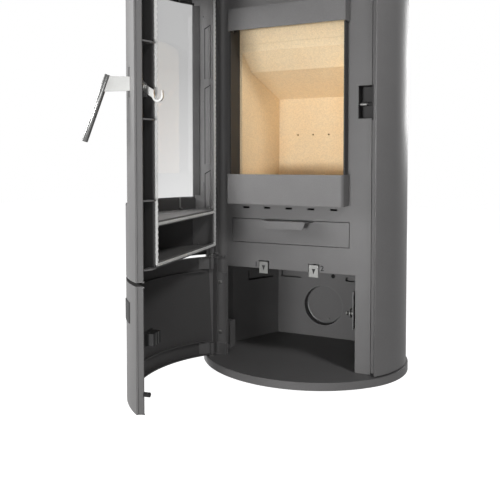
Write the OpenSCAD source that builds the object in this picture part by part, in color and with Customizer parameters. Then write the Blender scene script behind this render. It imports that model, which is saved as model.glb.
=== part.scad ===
// Free-standing oval steel log stove with a curved glass fire door, a log
// compartment behind its own curved door, an ash drawer and two air levers.
// Millimetres. Z is up, the floor is z = 0, x = 0 is the middle of the stove
// and y = 0 is the front face of the flat plate that the doors close on.
// Both doors are drawn closed and then swung open about their hinge axis.

/* [Body] */
// Height of the stove from the floor to the top plate
stove_h = 1070; // [1040:5:1160]
// Radius of the curved front, at the edge of the base
front_r = 310; // [305:1:318]
// Distance from the front plate back to the centre of the front curve
front_cy = 172; // [168:1:176]
// How much smaller the radius of the two side curves is
side_step = 97; // [94:1:102]
// Distance from the middle to the centre of each side curve
side_cx = 75; // [72:1:80]
// How far the flat back is cut into the side curves
back_cut = 13.5; // [9:0.5:18]
// Height of the base
base_h = 20; // [18:1:26]
// Wall of the base and of the top plate
pan_t = 4; // [3:0.5:6]
// Height of the top plate's rim
top_h = 20; // [16:1:28]
// Step from the edge of the base in to the shells and the doors
edge_step = 5; // [4:0.5:7]
// Shadow gap between the base and what stands over it
shadow_gap = 3; // [2:0.5:4]
// Sheet of the shells, the doors and the liners
sheet_t = 3; // [2.5:0.5:3.5]
// Height of each levelling foot's pad
foot_pad_h = 5; // [4:1:8]
// Radius of each levelling foot's pad
foot_r = 14; // [10:1:20]
// Radius of each levelling foot's stud
stud_r = 5; // [4:0.5:6]
// From the edge of the front plate in to the levelling feet
foot_inset = 51; // [36:1:80]
// Places of the levelling feet, from the front plate back
foot_ys = [10, 215];

/* [Front plate] */
// Thickness of the front plate
plate_t = 4; // [3:0.5:6]
// From the doors' edge in to the edge of the front plate
plate_inset = 8; // [6:0.5:10]
// Width of the front plate beside the log compartment
jamb_w = 39.5; // [38:0.5:45]
// Height of the log compartment's opening above the floor
comp_top = 268; // [260:1:272]
// From the log compartment's opening in to the edge of the drawer's front
drawer_inset = 17; // [15.5:0.5:25]
// Bottom of the ash drawer's front
drawer_z = 337; // [336:0.5:340]
// Height of the ash drawer's front
drawer_h = 63; // [56:1:66]
// Gap round the ash drawer's front
drawer_gap = 1.5; // [1:0.25:2]
// Number of primary air slots
slot_count = 5; // [3:1:5]
// From the firebox opening in to the last primary air slot, on both sides together
slot_inset = 36; // [32:1:50]
// Length of each primary air slot
slot_len = 18; // [12:1:24]
// Height of each primary air slot
slot_h = 5; // [3:0.5:6]
// Height of the middle of the primary air slots
slot_z = 431.5; // [429:0.5:432]
// Top of the strip beside the log compartment, on the hinge side
jamb_top = 248; // [200:1:262]
// Top of that strip's foot
jamb_foot_top = 52; // [40:1:60]
// How far that strip's foot stands out of the front plate
jamb_foot_out = 8.5; // [6:0.5:9]
// From the compartment's opening to that strip's foot
jamb_foot_inset = 1.5; // [0:0.5:4]
// From the edges of the front plate's side to that strip
jamb_inset = 3.5; // [2:0.5:6]
// Heights of the strip's screws
jamb_screw_zs = [82, 221];
// From the edge of the front plate in to the strip's screws
jamb_screw_inset = 17; // [13:1:22]
// Radius of the strip's screws
jamb_screw_r = 3; // [2:0.25:4]

/* [Firebox] */
// Width of the front plate beside the firebox opening
fire_inset = 61; // [60:0.5:70]
// Bottom of the firebox opening
fire_z0 = 476; // [474:1:486]
// From the top of the firebox down to the top of its opening
fire_drop = 64; // [53:1:73]
// How far the opening's collar stands out of the front plate
collar_out = 27; // [20:1:30]
// From the firebox opening in to the side linings at the front
lining_inset = 10; // [6:1:16]
// How much the side linings come in towards the back
lining_taper = 44; // [38:1:50]
// Distance from the front plate to the front of the linings
lining_front_y = 28; // [26:1:32]
// Distance from the front plate to the face of the back lining
lining_back_y = 188; // [180:1:192]
// Thickness of the linings
lining_t = 25; // [20:1:27]
// Top of the floor lining
floor_top = 470; // [466:1:472]
// Thickness of the floor lining
floor_t = 30; // [26:1:32]
// From the top of the stove down to the firebox
firebox_drop = 82; // [75:1:95]
// Radius of the air holes in the back lining
air_hole_r = 2.5; // [2:0.25:4]
// Spacing of the air holes
air_hole_pitch = 47; // [40:1:52]
// Height of the air holes
air_hole_z = 633; // [600:1:660]
// From the top of the firebox down to the smoke baffle's back edge
baffle_drop = 250; // [238:1:263]
// From the top of the firebox down to where the lower and the upper baffle meet
baffle_mid_drop = 184; // [176:1:192]
// Distance from the front plate to where the baffles meet
baffle_mid_y = 66; // [60:1:74]
// From the top of the firebox down to where the upper baffle meets the throat board
baffle_front_drop = 133; // [126:1:140]
// Thickness of the baffle boards
baffle_t = 20; // [16:1:22]
// Gap between loose boards and what holds them
board_gap = 0.5; // [0.3:0.1:1]
// From the side linings at the back in to the end of the grate
grate_inset = 6; // [1:1:20]
// Half width of the grate
grate_hw = 52; // [44:1:56]
// Thickness of the grate
grate_t = 14; // [10:1:18]
// Ledge under the grate
grate_ledge = 9; // [6:0.5:12]
// Width of each slot in the grate
grate_slot = 9; // [7:0.5:11]
// Number of slots in the grate
grate_slots = 7; // [5:1:8]

/* [Log guard and deflector] */
// How far the log guard and the air deflector reach past the firebox opening
guard_lap = 3; // [1:0.5:4]
// How far the log guard stands out
guard_out = 46; // [36:1:48]
// Bottom of the log guard
guard_z0 = 443; // [439:1:446]
// Top of the log guard
guard_z1 = 522; // [505:1:530]
// Outside radius of the log guard's bends
guard_r = 9; // [6:0.5:12]
// How far the air deflector over the opening stands out
lintel_out = 35.5; // [28:0.5:38]
// How far the air deflector hangs over the opening
lintel_lap = 21; // [16:1:28]
// Height of the air deflector
lintel_h = 57; // [47:1:63]

/* [Log compartment] */
// From the compartment's back wall to the flat back
liner_back_gap = 28.5; // [26:0.5:34]
// From the compartment's back corners in to the edges of the side shells
panel_inset = 17.5; // [10:0.5:30]
// How far the back panel laps over the shells' edges inside
panel_lap = 12; // [8:1:15]
// How much the compartment's side walls come in towards the back
liner_taper = 78.5; // [76:0.5:82]
// From the edge of the front plate out to the compartment's side walls
liner_lap = 5; // [1:1:9]
// Distance from the front plate to where the side walls turn in
comp_turn_y = 118; // [110:1:126]
// Bottom of the slots in the compartment's walls
hang_z = 196; // [180:1:200]
// Length of the slots in the back wall
hang_len = 66; // [50:1:70]
// Distance from the middle to those slots
hang_x = 71; // [66:1:78]
// Heights of the left and the right slot in the back wall
hang_ws = [5, 13];
// Height of the slots in the side walls
side_hang_w = 6; // [4:0.5:8]
// From where a side wall turns in to its slot
side_hang_in = 60; // [40:1:64]
// Length of the slots in the side walls
side_hang_len = 100; // [80:1:112]
// Width of the upright leg at the end of each slot
hang_leg_w = 4; // [3:0.5:6]
// Height of that leg
hang_leg_h = 30; // [20:1:34]
// Underside of the compartment's ceiling
ceiling_z = 292; // [291:0.5:296]
// Radius of the fresh air inlet's bore
inlet_r = 60; // [50:0.5:62]
// Wall of the inlet's collar
inlet_wall = 2; // [1.5:0.5:3]
// Height of the inlet's centre
inlet_z = 116; // [100:1:130]
// How far the inlet's collar stands out behind the back panel
inlet_out = 30; // [20:1:60]
// Distance of the inlet's cover behind the back wall
cover_back = 27; // [22:1:29]
// Thickness of the inlet's cover
cover_t = 2; // [1.5:0.5:3]
// Height of the cover's screw above the cover's lower edge
cover_screw_up = 14; // [9:1:20]
// Distance of that screw from the middle
cover_screw_x = 9; // [0:1:20]
// Radius of the cover's screw
cover_screw_r = 2; // [1.5:0.25:2.5]
// From the edge of the compartment's opening in to the bracket inside
bracket_inset = 8.5; // [6:0.5:12]
// Bottom of that bracket
bracket_z0 = 127.5; // [110:0.5:140]
// Top of that bracket
bracket_z1 = 224; // [205:1:250]
// How far that bracket reaches back
bracket_d = 26; // [18:1:40]
// Bottom of the bracket at the left
low_bracket_z0 = 39; // [30:1:50]
// Top of the bracket at the left
low_bracket_z1 = 112; // [100:1:130]
// Height of the bolt through the right bracket
bolt_z = 167; // [150:1:190]
// Length of that bolt
bolt_len = 20; // [14:1:30]
// Height of that bolt's head
bolt_head_h = 4; // [3:0.5:5]
// Radius of that bolt
bolt_r = 3.5; // [2:0.5:4]
// Radius of the large washer on that bolt
washer_r = 12; // [8:0.5:12.5]

/* [Flue] */
// Outside radius of the flue collar
flue_r = 74.5; // [60:0.5:78]
// Wall of the flue collar
flue_wall = 2.5; // [2:0.5:4]
// Distance from the front plate to the flue's axis
flue_y = 120; // [110:1:130]
// How far the flue collar stands above the top plate
flue_up = 40; // [20:1:60]
// Height of the step on the collars that a pipe slides up to
collar_step = 1; // [0.5:0.25:1.5]

/* [Doors] */
// From the doors' edge in to the hinge axis
hinge_inset = 13; // [12:0.5:15]
// Hinge axis in front of the front plate
hinge_out = 28; // [26:0.5:30]
// How far the doors' edges stand in front of the front plate
door_edge_out = 29.45; // [28.5:0.05:30.5]
// Depth of the doors' folded edges
fold_d = 15; // [12:0.5:16]
// Height of the gap between the two doors
door_split_z = 298; // [296:0.5:300]
// Gap between the two doors
door_gap = 8; // [7:0.5:10]
// Angle that the fire door stands open in this model
fire_open = 81.8; // [0:0.1:100]
// Angle that the log compartment's door stands open in this model
log_open = 81.8; // [0:0.1:100]
// Radius of the hinge pins
pin_r = 4; // [3:0.5:4.5]
// Radial clearance of shafts and pins that turn
run_gap = 0.05; // [0.02:0.01:0.1]
// Outside radius of the hinge knuckles
knuckle_r = 7.2; // [6.5:0.1:7.4]
// Length of the hinge knuckles
knuckle_h = 30; // [20:1:36]
// How far the log door's hinge arms reach out to its sheet
hinge_arm_out = 48; // [44:1:52]
// How far the log door's hinge arms reach along its sheet
hinge_arm_in = 28; // [20:1:34]
// Width of the hinge arms at the axis
hinge_arm_w = 10; // [8:0.5:12]
// Height of each hinge lug's foot on the front plate
lug_foot_h = 6; // [5:0.5:8]
// Width of each hinge lug's foot beside the lug
lug_foot_w = 22; // [10:1:24]
// Thickness of the hinge lugs
lug_t = 5; // [4:0.5:5.5]
// Length of each hinge pin in its knuckle
pin_in = 24; // [16:1:28]
// Gap between the log door's lower knuckle and the collar that carries it
collar_gap = 0.2; // [0.1:0.05:0.4]

/* [Fire door] */
// From the middle of the rope out to the window's edge
window_out = 6.5; // [2:0.5:8]
// Bottom of the window
window_z0 = 461; // [455:1:480]
// From the top of the stove down to the window's top
window_drop = 96; // [94:1:130]
// Thickness of the glass
glass_t = 4; // [3:0.5:5]
// Gap between the glass and the door skin
glass_gap = 0.5; // [0.3:0.1:1]
// How far the glass reaches past the window
glass_lap = 4; // [3:0.5:4.5]
// From the doors' edge in to the middle of the rope
rope_inset = 51.5; // [51:0.5:53]
// Radius of the sealing rope
rope_r = 4; // [3:0.25:4.5]
// Height of the lowest run of the rope
rope_z0 = 332.5; // [330:0.5:334]
// Height of the rope between the window and the ash drawer
rope_mid_z = 420.5; // [416:0.5:423]
// From the top of the stove down to the highest run of the rope
rope_drop = 70; // [66:1:78]
// Gap between the closed door's rope and the front plate
rope_gap = 0.8; // [0.5:0.1:1.5]
// Gap between the closed door's frame and the front plate
frame_gap = 6.5; // [5:0.25:7]
// Gap between the closed door's stiffener tabs and the front plate
tab_gap = 3; // [2:0.25:4]
// From the rope's channel back to the strips that hold the glass
strip_back = 37.5; // [30:0.5:42]
// Thickness of the stiffener tabs
tab_t = 3; // [2:0.5:5]
// Bottom and top of each embossed plate inside the frame
frame_plate_zs = [[432, 527], [548, 754], [775, 912]];
// Width of the embossed plates
frame_plate_w = 17; // [12:1:24]
// From the front plate out to the embossed plates
frame_plate_out = 17; // [12:1:24]
// Slant at the ends of the embossed plates
frame_plate_slant = 6; // [2:1:10]
// How far the embossed plates stand in
frame_plate_t = 1.5; // [1:0.25:2]
// Width of the stiffener tabs' straight edge
tab_w = 16; // [10:1:20]
// Depth of the stiffener tabs
tab_d = 6; // [4:1:8]
// Heights of the stiffener tabs
tab_zs = [327, 472.5, 643.5, 805, 960];

/* [Door handle] */
// Height of the handle's spindle
spindle_z = 716; // [708:1:724]
// Distance of the spindle in front of the front plate
spindle_out = 30; // [28:0.5:31]
// Radius of the spindle
spindle_r = 5; // [4:0.5:5.5]
// Width of the bracket that carries the spindle
bracket_w = 32; // [31:0.5:34]
// Thickness of that bracket's cheeks
cheek_t = 4; // [3:0.5:5]
// Metal of the cheeks round the spindle
cheek_wall = 3.5; // [3:0.5:4]
// How far the cheeks reach below the spindle
cheek_down = 24; // [20:1:28]
// Thickness of the lever arm and of the hook
lever_t = 5; // [4:0.5:5.5]
// From the door's frame out to the lever arm
lever_off = 20.5; // [18.5:0.5:21.5]
// From the door's frame out to the hook
hook_off = 14; // [12.5:0.5:14.5]
// Distance of the grip's top end in front of the front plate
grip_top_out = 103.5; // [98:0.5:110]
// Distance of the grip's bottom end in front of the front plate
grip_low_out = 161; // [150:1:170]
// Height of the grip's top end
grip_top_z = 739.5; // [735:0.5:745]
// Height of the grip's bottom end
grip_low_z = 599; // [570:1:630]
// How far the arm's slot in the door reaches below the spindle
arm_slot_down = 26; // [16:1:30]
// How far the arm's slot in the door reaches above the spindle
arm_slot_up = 38; // [36:1:44]
// Gap at each side of the arm in its slot
arm_slot_gap = 2; // [1:0.5:3]
// Depth of the arm where it leaves the spindle
arm_d = 12; // [10:0.5:14]
// Rise of the arm where it leaves the door
arm_rise = 18; // [14:1:20]
// From the spindle out to where the arm leaves the door
arm_knee = 25; // [20:1:30]
// Height of the arm where it holds the grip
arm_end_h = 35; // [28:1:40]
// How far the arm's end slants outward
arm_end_slant = 13; // [8:1:15]
// Radius of the grip
grip_r = 6.5; // [6:0.25:9]
// Radius of the catch roller
roller_r = 5; // [4:0.25:5.5]
// Height of the catch roller
roller_z = 698; // [694:0.5:701]
// Distance of the catch roller behind the front plate's face
roller_in = 10; // [9:0.5:11]
// Gap between the catch roller and the hook
hook_gap = 3.3; // [3:0.1:3.5]
// How far the hook's cup sits below the roller
hook_drop = 6; // [5:0.5:7]
// Height of the hook's tip above the middle of its cup
hook_up = 11; // [8:0.5:12]
// Radius of the hook's hub
hub_r = 9; // [8:0.5:10]
// Width of the hook's metal round the roller
hook_w = 4.2; // [3.8:0.1:4.4]
// From the closed door's frame out to the catch recess
catch_off = 2; // [1.5:0.5:3.5]
// Bottom of the catch recess
catch_z0 = 662; // [655:1:663]
// Top of the catch recess
catch_z1 = 744; // [735:1:755]
// Wall of the catch box
catch_wall = 2; // [1.5:0.5:2.5]
// Length of the catch roller
roller_len = 16; // [10:0.5:20]
// Depth of the catch recess behind the front plate
catch_d = 34; // [30:1:40]

/* [Air levers] */
// Distance from the middle to each air lever
air_x = 71; // [60:0.5:80]
// Width of each air lever's tab
air_tab_w = 25; // [22:1:30]
// Bottom of the tabs
air_tab_z0 = 255; // [250:1:262]
// Top of the tabs
air_tab_z1 = 286.5; // [285:0.5:288]
// Thickness of the tabs
air_tab_t = 3; // [2:0.5:3.5]
// Gap round the tabs in the front plate
air_tab_gap = 2.5; // [1:0.25:3]
// Width of each lever's bar
air_bar_w = 20; // [14:1:22]
// Thickness of each lever's bar
air_bar_t = 4; // [3:0.5:5]
// From the top of the tabs down to the bars
air_bar_drop = 3; // [2:0.5:4]
// Length of each lever's bar
air_bar_len = 190; // [180:1:220]
// Places of the guides behind the front plate
guide_ys = [60, 136];
// Length of each guide
guide_len = 14; // [10:1:20]
// Wall of the guides round the bars
guide_wall = 4; // [3:0.5:5]
// Clearance of the bars in their guides
slide_gap = 0.3; // [0.2:0.05:0.5]

/* [Ash drawer] */
// Length of the ash pan
pan_len = 190; // [160:1:198]
// From the top of the drawer's front down to the ash pan's rim
pan_drop = 3; // [2:0.5:8]
// Sheet of the ash pan and of the drawer's front
pan_sheet = 2; // [1.5:0.5:3]
// From the edge of the drawer's front in to the ash pan
pan_inset = 8.5; // [5.5:0.5:24]
// Width of each runner under the ash pan
runner_w = 12; // [8:1:16]
// From the edge of the drawer's front in to each runner
runner_inset = 44.5; // [34:0.5:64]
// Half width of the drawer's handle
pull_hw = 60; // [45:1:70]
// Slant of the drawer handle's sides
pull_slant = 9; // [4:1:14]
// How far the drawer's handle stands out
pull_out = 36; // [28:1:40]
// Height of the drawer's handle
pull_h = 20; // [16:1:24]

/* [Log compartment door] */
// From the hinge knuckles to the stiffening ribs across the door's inside
rib_gap = 4; // [2:0.5:12]
// Height of each stiffening rib
rib_h = 3; // [2:0.5:5]
// How far the ribs stand in from the door's sheet
rib_d = 9; // [5:1:14]
// From the hinge's axis in to the ribs' ends
rib_end = 12; // [10:1:30]
// From the door's edge in to the pull on its face
grip_plate_inset = 28; // [13:1:70]
// Width of that pull
grip_plate_w = 43; // [24:1:48]
// Half length of the pull on the door's face
grip_plate_hh = 22.5; // [18:0.5:35]
// Height of the middle of that pull
grip_plate_z = 230.5; // [215:0.5:245]
// How far that pull stands out
grip_plate_out = 2; // [1:0.5:9]
// From the door's edge in to the magnet
magnet_inset = 25; // [15:1:40]
// Width of the magnet
magnet_w = 36; // [28:1:40]
// Bottom of the magnet
magnet_z0 = 164; // [140:1:180]
// Height of the magnet
magnet_h = 26; // [20:1:40]
// From the door's folded edge back to the plate that holds the magnet
magnet_back = 5; // [4:0.5:8]
// Gap between the magnet and the front plate when the door is closed
magnet_gap = 1; // [0.5:0.25:2]
// Height of the rubber buffer
buffer_z = 66; // [60:1:90]
// Radius of the rubber buffer
buffer_r = 5; // [4:0.5:6]

/* [Hidden] */
$fn = 192;
e = 0.01;
far = 1500;

side_r = front_r - side_step;
side_cy = front_cy - sqrt(pow(side_step, 2) - pow(side_cx, 2));
back_y = side_cy + side_r - back_cut;
skin_r = front_r - edge_step;
skin_in = skin_r - sheet_t;
door_hw = sqrt(pow(skin_r, 2) - pow(front_cy + door_edge_out, 2));
hinge_x = door_hw - hinge_inset;
plate_hw = door_hw - plate_inset;
comp_hw = plate_hw - jamb_w;
drawer_hw = comp_hw - drawer_inset;
fire_hw = plate_hw - fire_inset;
slot_pitch = (fire_hw - slot_inset) / 2;
jamb_screw_x = plate_hw - jamb_screw_inset;
foot_x = plate_hw - foot_inset;
lining_front_hw = fire_hw - lining_inset;
lining_back_hw = lining_front_hw - lining_taper;
grate_hl = lining_back_hw - grate_inset;
guard_hw = fire_hw + guard_lap;
comp_side_hw = plate_hw + liner_lap;
comp_back_hw = comp_side_hw - liner_taper;
comp_back_y = back_y - liner_back_gap;
bracket_x = comp_hw - bracket_inset;
rope_hw = door_hw - rope_inset;
window_hw = rope_hw + window_out;
glass_hw = window_hw + glass_lap;
frame_in = rope_hw + rope_r;
frame_hw = frame_in + sheet_t;
lever_x = frame_hw + lever_off;
hook_x = frame_hw + hook_off;
catch_x = frame_hw + catch_off;
pan_hw = drawer_hw - pan_inset;
runner_x = drawer_hw - runner_inset;
grip_plate_x = door_hw - grip_plate_inset - grip_plate_w;
magnet_x = door_hw - magnet_inset - magnet_w;
firebox_top = stove_h - firebox_drop;
fire_z1 = firebox_top - fire_drop;
baffle_z = firebox_top - baffle_drop;
baffle_mid_z = firebox_top - baffle_mid_drop;
baffle_front_z = firebox_top - baffle_front_drop;
lintel_z0 = fire_z1 - lintel_lap;
lintel_z1 = lintel_z0 + lintel_h;
window_z1 = stove_h - window_drop;
rope_z1 = stove_h - rope_drop;

blend = [side_cx / side_step, (side_cy - front_cy) / side_step];
body_z0 = base_h + shadow_gap;
body_z1 = stove_h - top_h;
shell_gap = 4;
shell_x = door_hw + shell_gap;
lip_r = 4.5;
return_lap = 8;
shell_edge_x = comp_back_hw - panel_inset;
panel_hw = shell_edge_x + panel_lap;
panel_y = back_y - edge_step - 2 * sheet_t;
plate_back = plate_t;
hinge_y = -hinge_out;

lining_slope = (lining_front_hw - lining_back_hw) / (lining_back_y - lining_front_y);
wall_back_y = lining_back_y + lining_t;
floor_z = floor_top - floor_t;
box_bottom = floor_z - sheet_t;

log_z0 = base_h + shadow_gap;
log_z1 = door_split_z - door_gap / 2;
fire_door_z0 = door_split_z + door_gap / 2;
fire_door_z1 = body_z1 - door_gap;
frame_y = -frame_gap;
rope_y = -rope_gap - rope_r;
frame_z0 = rope_z0 - rope_r;
frame_z1 = rope_z1 + rope_r;
glass_r = skin_in - glass_gap;
channel_t = 2;
channel_y = rope_y - rope_r;

hook_in_r = roller_r + hook_gap;
hook_cz = roller_z - hook_drop;
runner_h = 6;
runner_y = plate_back + 2;
runner_z = drawer_z - slide_gap;
tray_gap = 1.5;
tray_z = drawer_z - runner_h;
tray_hw = drawer_hw + drawer_gap + tray_gap;

top_lug_z = fire_door_z1 + (door_gap - lug_t) / 2;
mid_lug_z = door_split_z - lug_t / 2;
fold_lean = 0.37;
rim_inset = 4;
pin_hole_gap = 0.5;
fold_x = door_hw - fold_d * fold_lean - sheet_t;
fold_y = front_cy - sqrt(pow(skin_r, 2) - pow(door_hw, 2)) + fold_d;
bar_z0 = air_tab_z1 - air_bar_t - air_bar_drop;
grate_y = (lining_front_y + lining_back_y) / 2;
grate_bar = 4;

function lining_x(y) = lining_front_hw - lining_slope * (y - lining_front_y);
function wall_x(y) = lining_x(y) + lining_t;
function arc_y(r, x) = front_cy - sqrt(r * r - x * x);

// A box between two corners.
module block(low, high) {
    translate(low) cube([high[0] - low[0], high[1] - low[1], high[2] - low[2]]);
}

// A flat outline stood up between two heights.
module rise(z0, z1) {
    translate([0, 0, z0]) linear_extrude(z1 - z0) children();
}

// An outline drawn in y and z, with its thickness along x.
module across(x0, x1) {
    translate([x0, 0, 0]) rotate([90, 0, 90]) linear_extrude(x1 - x0) children();
}

// A round bar along x, y or z.
module bar_x(x0, x1, y, z, r) {
    translate([x0, y, z]) rotate([0, 90, 0]) cylinder(h = x1 - x0, r = r);
}
module bar_y(y0, y1, x, z, r) {
    translate([x, y0, z]) rotate([-90, 0, 0]) cylinder(h = y1 - y0, r = r);
}
module bar_z(z0, z1, x, y, r) {
    translate([x, y, z0]) cylinder(h = z1 - z0, r = r);
}

module both_sides() {
    children();
    mirror([1, 0, 0]) children();
}

// Plan outline of the stove: a front arc, two side arcs that run into it and
// a flat back, drawn in by the given inset.
module oval(inset) {
    reach = 2 * front_r;
    difference() {
        union() {
            for (s = [-1, 1])
                translate([s * side_cx, side_cy]) circle(side_r - inset);
            intersection() {
                translate([0, front_cy]) circle(front_r - inset);
                polygon([[0, front_cy], [reach * blend[0], front_cy + reach * blend[1]],
                    [0, -reach], [-reach * blend[0], front_cy + reach * blend[1]]]);
            }
            translate([-side_cx, side_cy]) square([2 * side_cx, back_y - side_cy]);
        }
        translate([-far, back_y - inset]) square([2 * far, far]);
    }
}

// Plan of a curved door sheet between two radii, out to a half width.
module door_arc(r_out, r_in, hw) {
    intersection() {
        translate([0, front_cy]) difference() {
            circle(r_out);
            circle(r_in);
        }
        translate([-hw, -far]) square([2 * hw, far]);
    }
}

// Plan of the room inside a door, behind the sheet.
module door_room(r, hw, y1) {
    intersection() {
        translate([0, front_cy]) circle(r);
        translate([-hw, -far]) square([2 * hw, far + y1]);
    }
}

module swing(angle) {
    translate([-hinge_x, hinge_y, 0]) rotate([0, 0, -angle])
        translate([hinge_x, hinge_out, 0]) children();
}

// ---- body ----

module base_plate() {
    color("#4a4647") difference() {
        rise(0, base_h) oval(0);
        rise(-e, base_h - pan_t) oval(pan_t);
    }
}

module levelling_feet() {
    color("#8a8a8a") for (x = [-foot_x, foot_x], y = foot_ys) {
        bar_z(0, foot_pad_h, x, y, foot_r);
        bar_z(foot_pad_h, base_h - pan_t, x, y, stud_r);
    }
}

module front_plate() {
    color("#6f6f6f") difference() {
        block([-plate_hw, 0, base_h], [plate_hw, plate_back, body_z1]);
        block([-comp_hw, -e, base_h - e], [comp_hw, plate_back + e, comp_top]);
        block([-drawer_hw - drawer_gap, -e, drawer_z - drawer_gap],
            [drawer_hw + drawer_gap, plate_back + e, drawer_z + drawer_h + drawer_gap]);
        block([-fire_hw, -e, fire_z0], [fire_hw, plate_back + e, fire_z1]);
        block([catch_x, -e, catch_z0], [plate_hw + e, plate_back + e, catch_z1]);
        for (s = [-1, 1])
            block([s * air_x - air_tab_w / 2 - air_tab_gap, -e, comp_top - e],
                [s * air_x + air_tab_w / 2 + air_tab_gap, plate_back + e, air_tab_z1 + air_tab_gap]);
        for (i = [0 : slot_count - 1]) {
            x = (i - (slot_count - 1) / 2) * slot_pitch;
            block([x - slot_len / 2, -e, slot_z - slot_h / 2],
                [x + slot_len / 2, plate_back + e, slot_z + slot_h / 2]);
        }
    }
}

// Plan of the right shell: the curved side with a rolled front edge, and a
// return that runs back and in behind the front plate.
module shell_plan() {
    lip_x = shell_x + lip_r;
    lip_y = arc_y(skin_r - lip_r, lip_x);
    difference() {
        oval(edge_step);
        oval(edge_step + sheet_t);
        translate([-far, -far]) square([far + lip_x, far + side_cy]);
        translate([-far, -far]) square([far, 2 * far]);
        translate([0, -far]) square([shell_edge_x, 2 * far]);
    }
    translate([lip_x, lip_y]) circle(lip_r);
    translate([shell_x, lip_y]) square([sheet_t, plate_back + sheet_t - lip_y]);
    translate([plate_hw - return_lap, plate_back])
        square([shell_x + sheet_t - plate_hw + return_lap, sheet_t]);
}

module side_shell_left() {
    color("#5b5a5b") mirror([1, 0, 0]) rise(body_z0, body_z1) shell_plan();
}

module side_shell_right() {
    color("#5b5a5b") difference() {
        rise(body_z0, body_z1) shell_plan();
        block([plate_hw - return_lap - e, plate_back - e, catch_z0 - sheet_t],
            [plate_hw + sheet_t, plate_back + sheet_t + e, catch_z1 + sheet_t]);
    }
}

module back_panel() {
    color("#5b5a5b") difference() {
        block([-panel_hw, panel_y, body_z0], [panel_hw, panel_y + sheet_t, body_z1]);
        bar_y(panel_y - e, back_y, 0, inlet_z, inlet_r + inlet_wall + collar_step);
    }
}

module top_plate() {
    color("#4a4647") difference() {
        rise(body_z1, stove_h) oval(edge_step / 2);
        rise(body_z1 - e, stove_h - pan_t) oval(edge_step / 2 + pan_t);
        bar_z(body_z1, stove_h + e, 0, flue_y, flue_r + 2 * collar_step);
    }
}

module flue_collar() {
    color("#4a4647") difference() {
        union() {
            bar_z(firebox_top, stove_h, 0, flue_y, flue_r + collar_step);
            bar_z(firebox_top, stove_h + flue_up, 0, flue_y, flue_r);
        }
        bar_z(firebox_top - e, stove_h + flue_up + e, 0, flue_y, flue_r - flue_wall);
    }
}

// ---- firebox ----

// Plan of the steel firebox's inside, grown by the given wall.
module firebox_plan(grow, y0) {
    polygon([[wall_x(lining_front_y) + grow, y0], [wall_x(lining_front_y) + grow, lining_front_y],
        [wall_x(wall_back_y) + grow, wall_back_y + grow],
        [-wall_x(wall_back_y) - grow, wall_back_y + grow],
        [-wall_x(lining_front_y) - grow, lining_front_y], [-wall_x(lining_front_y) - grow, y0]]);
}

// Plan of the room between the linings, drawn in by the given gap.
module fire_room(gap) {
    polygon([[lining_front_hw - gap, lining_front_y], [lining_back_hw - gap, lining_back_y - gap],
        [-lining_back_hw + gap, lining_back_y - gap], [-lining_front_hw + gap, lining_front_y]]);
}

module firebox_body() {
    color("#3c3b3c") difference() {
        rise(box_bottom, firebox_top) firebox_plan(sheet_t, plate_back);
        rise(floor_z, firebox_top - sheet_t) firebox_plan(0, plate_back - e);
        block([-grate_hl + grate_ledge, grate_y - grate_hw + grate_ledge, box_bottom - e],
            [grate_hl - grate_ledge, grate_y + grate_hw - grate_ledge, floor_z + e]);
        bar_z(firebox_top - sheet_t - e, firebox_top + e, 0, flue_y, flue_r - flue_wall);
    }
}

module opening_collar() {
    color("#454445") difference() {
        block([-fire_hw, -collar_out, fire_z0], [fire_hw, lining_front_y, fire_z1]);
        block([-fire_hw + sheet_t, -collar_out - e, fire_z0 + sheet_t],
            [fire_hw - sheet_t, lining_front_y + e, fire_z1 - sheet_t]);
        block([-guard_hw, -collar_out - e, fire_z0 - e], [guard_hw, 0, guard_z1]);
        block([-guard_hw, -collar_out - e, lintel_z0], [guard_hw, 0, fire_z1 + e]);
    }
}

module lining_right() {
    color("#dcbd92") rise(floor_z, firebox_top - sheet_t)
        polygon([[lining_front_hw, lining_front_y], [wall_x(lining_front_y), lining_front_y],
            [wall_x(lining_back_y), lining_back_y], [lining_back_hw, lining_back_y]]);
}

module lining_left() {
    mirror([1, 0, 0]) lining_right();
}

module lining_back() {
    color("#e4cda8") difference() {
        rise(floor_z, firebox_top - sheet_t)
            polygon([[wall_x(lining_back_y), lining_back_y], [wall_x(wall_back_y), wall_back_y],
                [-wall_x(wall_back_y), wall_back_y], [-wall_x(lining_back_y), lining_back_y]]);
        for (i = [-1 : 1])
            bar_y(lining_back_y - e, wall_back_y + e, i * air_hole_pitch, air_hole_z, air_hole_r);
    }
}

module lining_floor() {
    color("#cfae82") difference() {
        rise(floor_z, floor_top) union() {
            fire_room(0);
            translate([-wall_x(lining_front_y), plate_back])
                square([2 * wall_x(lining_front_y), lining_front_y - plate_back]);
        }
        block([-grate_hl - board_gap, grate_y - grate_hw - board_gap, floor_top - grate_t],
            [grate_hl + board_gap, grate_y + grate_hw + board_gap, floor_top + e]);
        block([-grate_hl + grate_ledge, grate_y - grate_hw + grate_ledge, floor_z - e],
            [grate_hl - grate_ledge, grate_y + grate_hw - grate_ledge, floor_top]);
    }
}

module fire_grate() {
    pitch = 2 * (grate_hl - grate_ledge) / grate_slots;
    color("#343434") difference() {
        block([-grate_hl, grate_y - grate_hw, floor_top - grate_t], [grate_hl, grate_y + grate_hw, floor_top]);
        for (i = [0 : grate_slots - 1]) {
            x = (i - (grate_slots - 1) / 2) * pitch;
            block([x - grate_slot / 2, grate_y - grate_hw + grate_ledge + grate_bar, floor_top - grate_t - e],
                [x + grate_slot / 2, grate_y + grate_hw - grate_ledge - grate_bar, floor_top + e]);
        }
    }
}

// A board that spans the firebox from lining to lining, with its side outline
// given in y and z.
module fire_board(outline) {
    color("#dcbd92") intersection() {
        across(-lining_front_hw, lining_front_hw) polygon(outline);
        rise(floor_top, firebox_top) fire_room(board_gap);
    }
}

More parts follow.
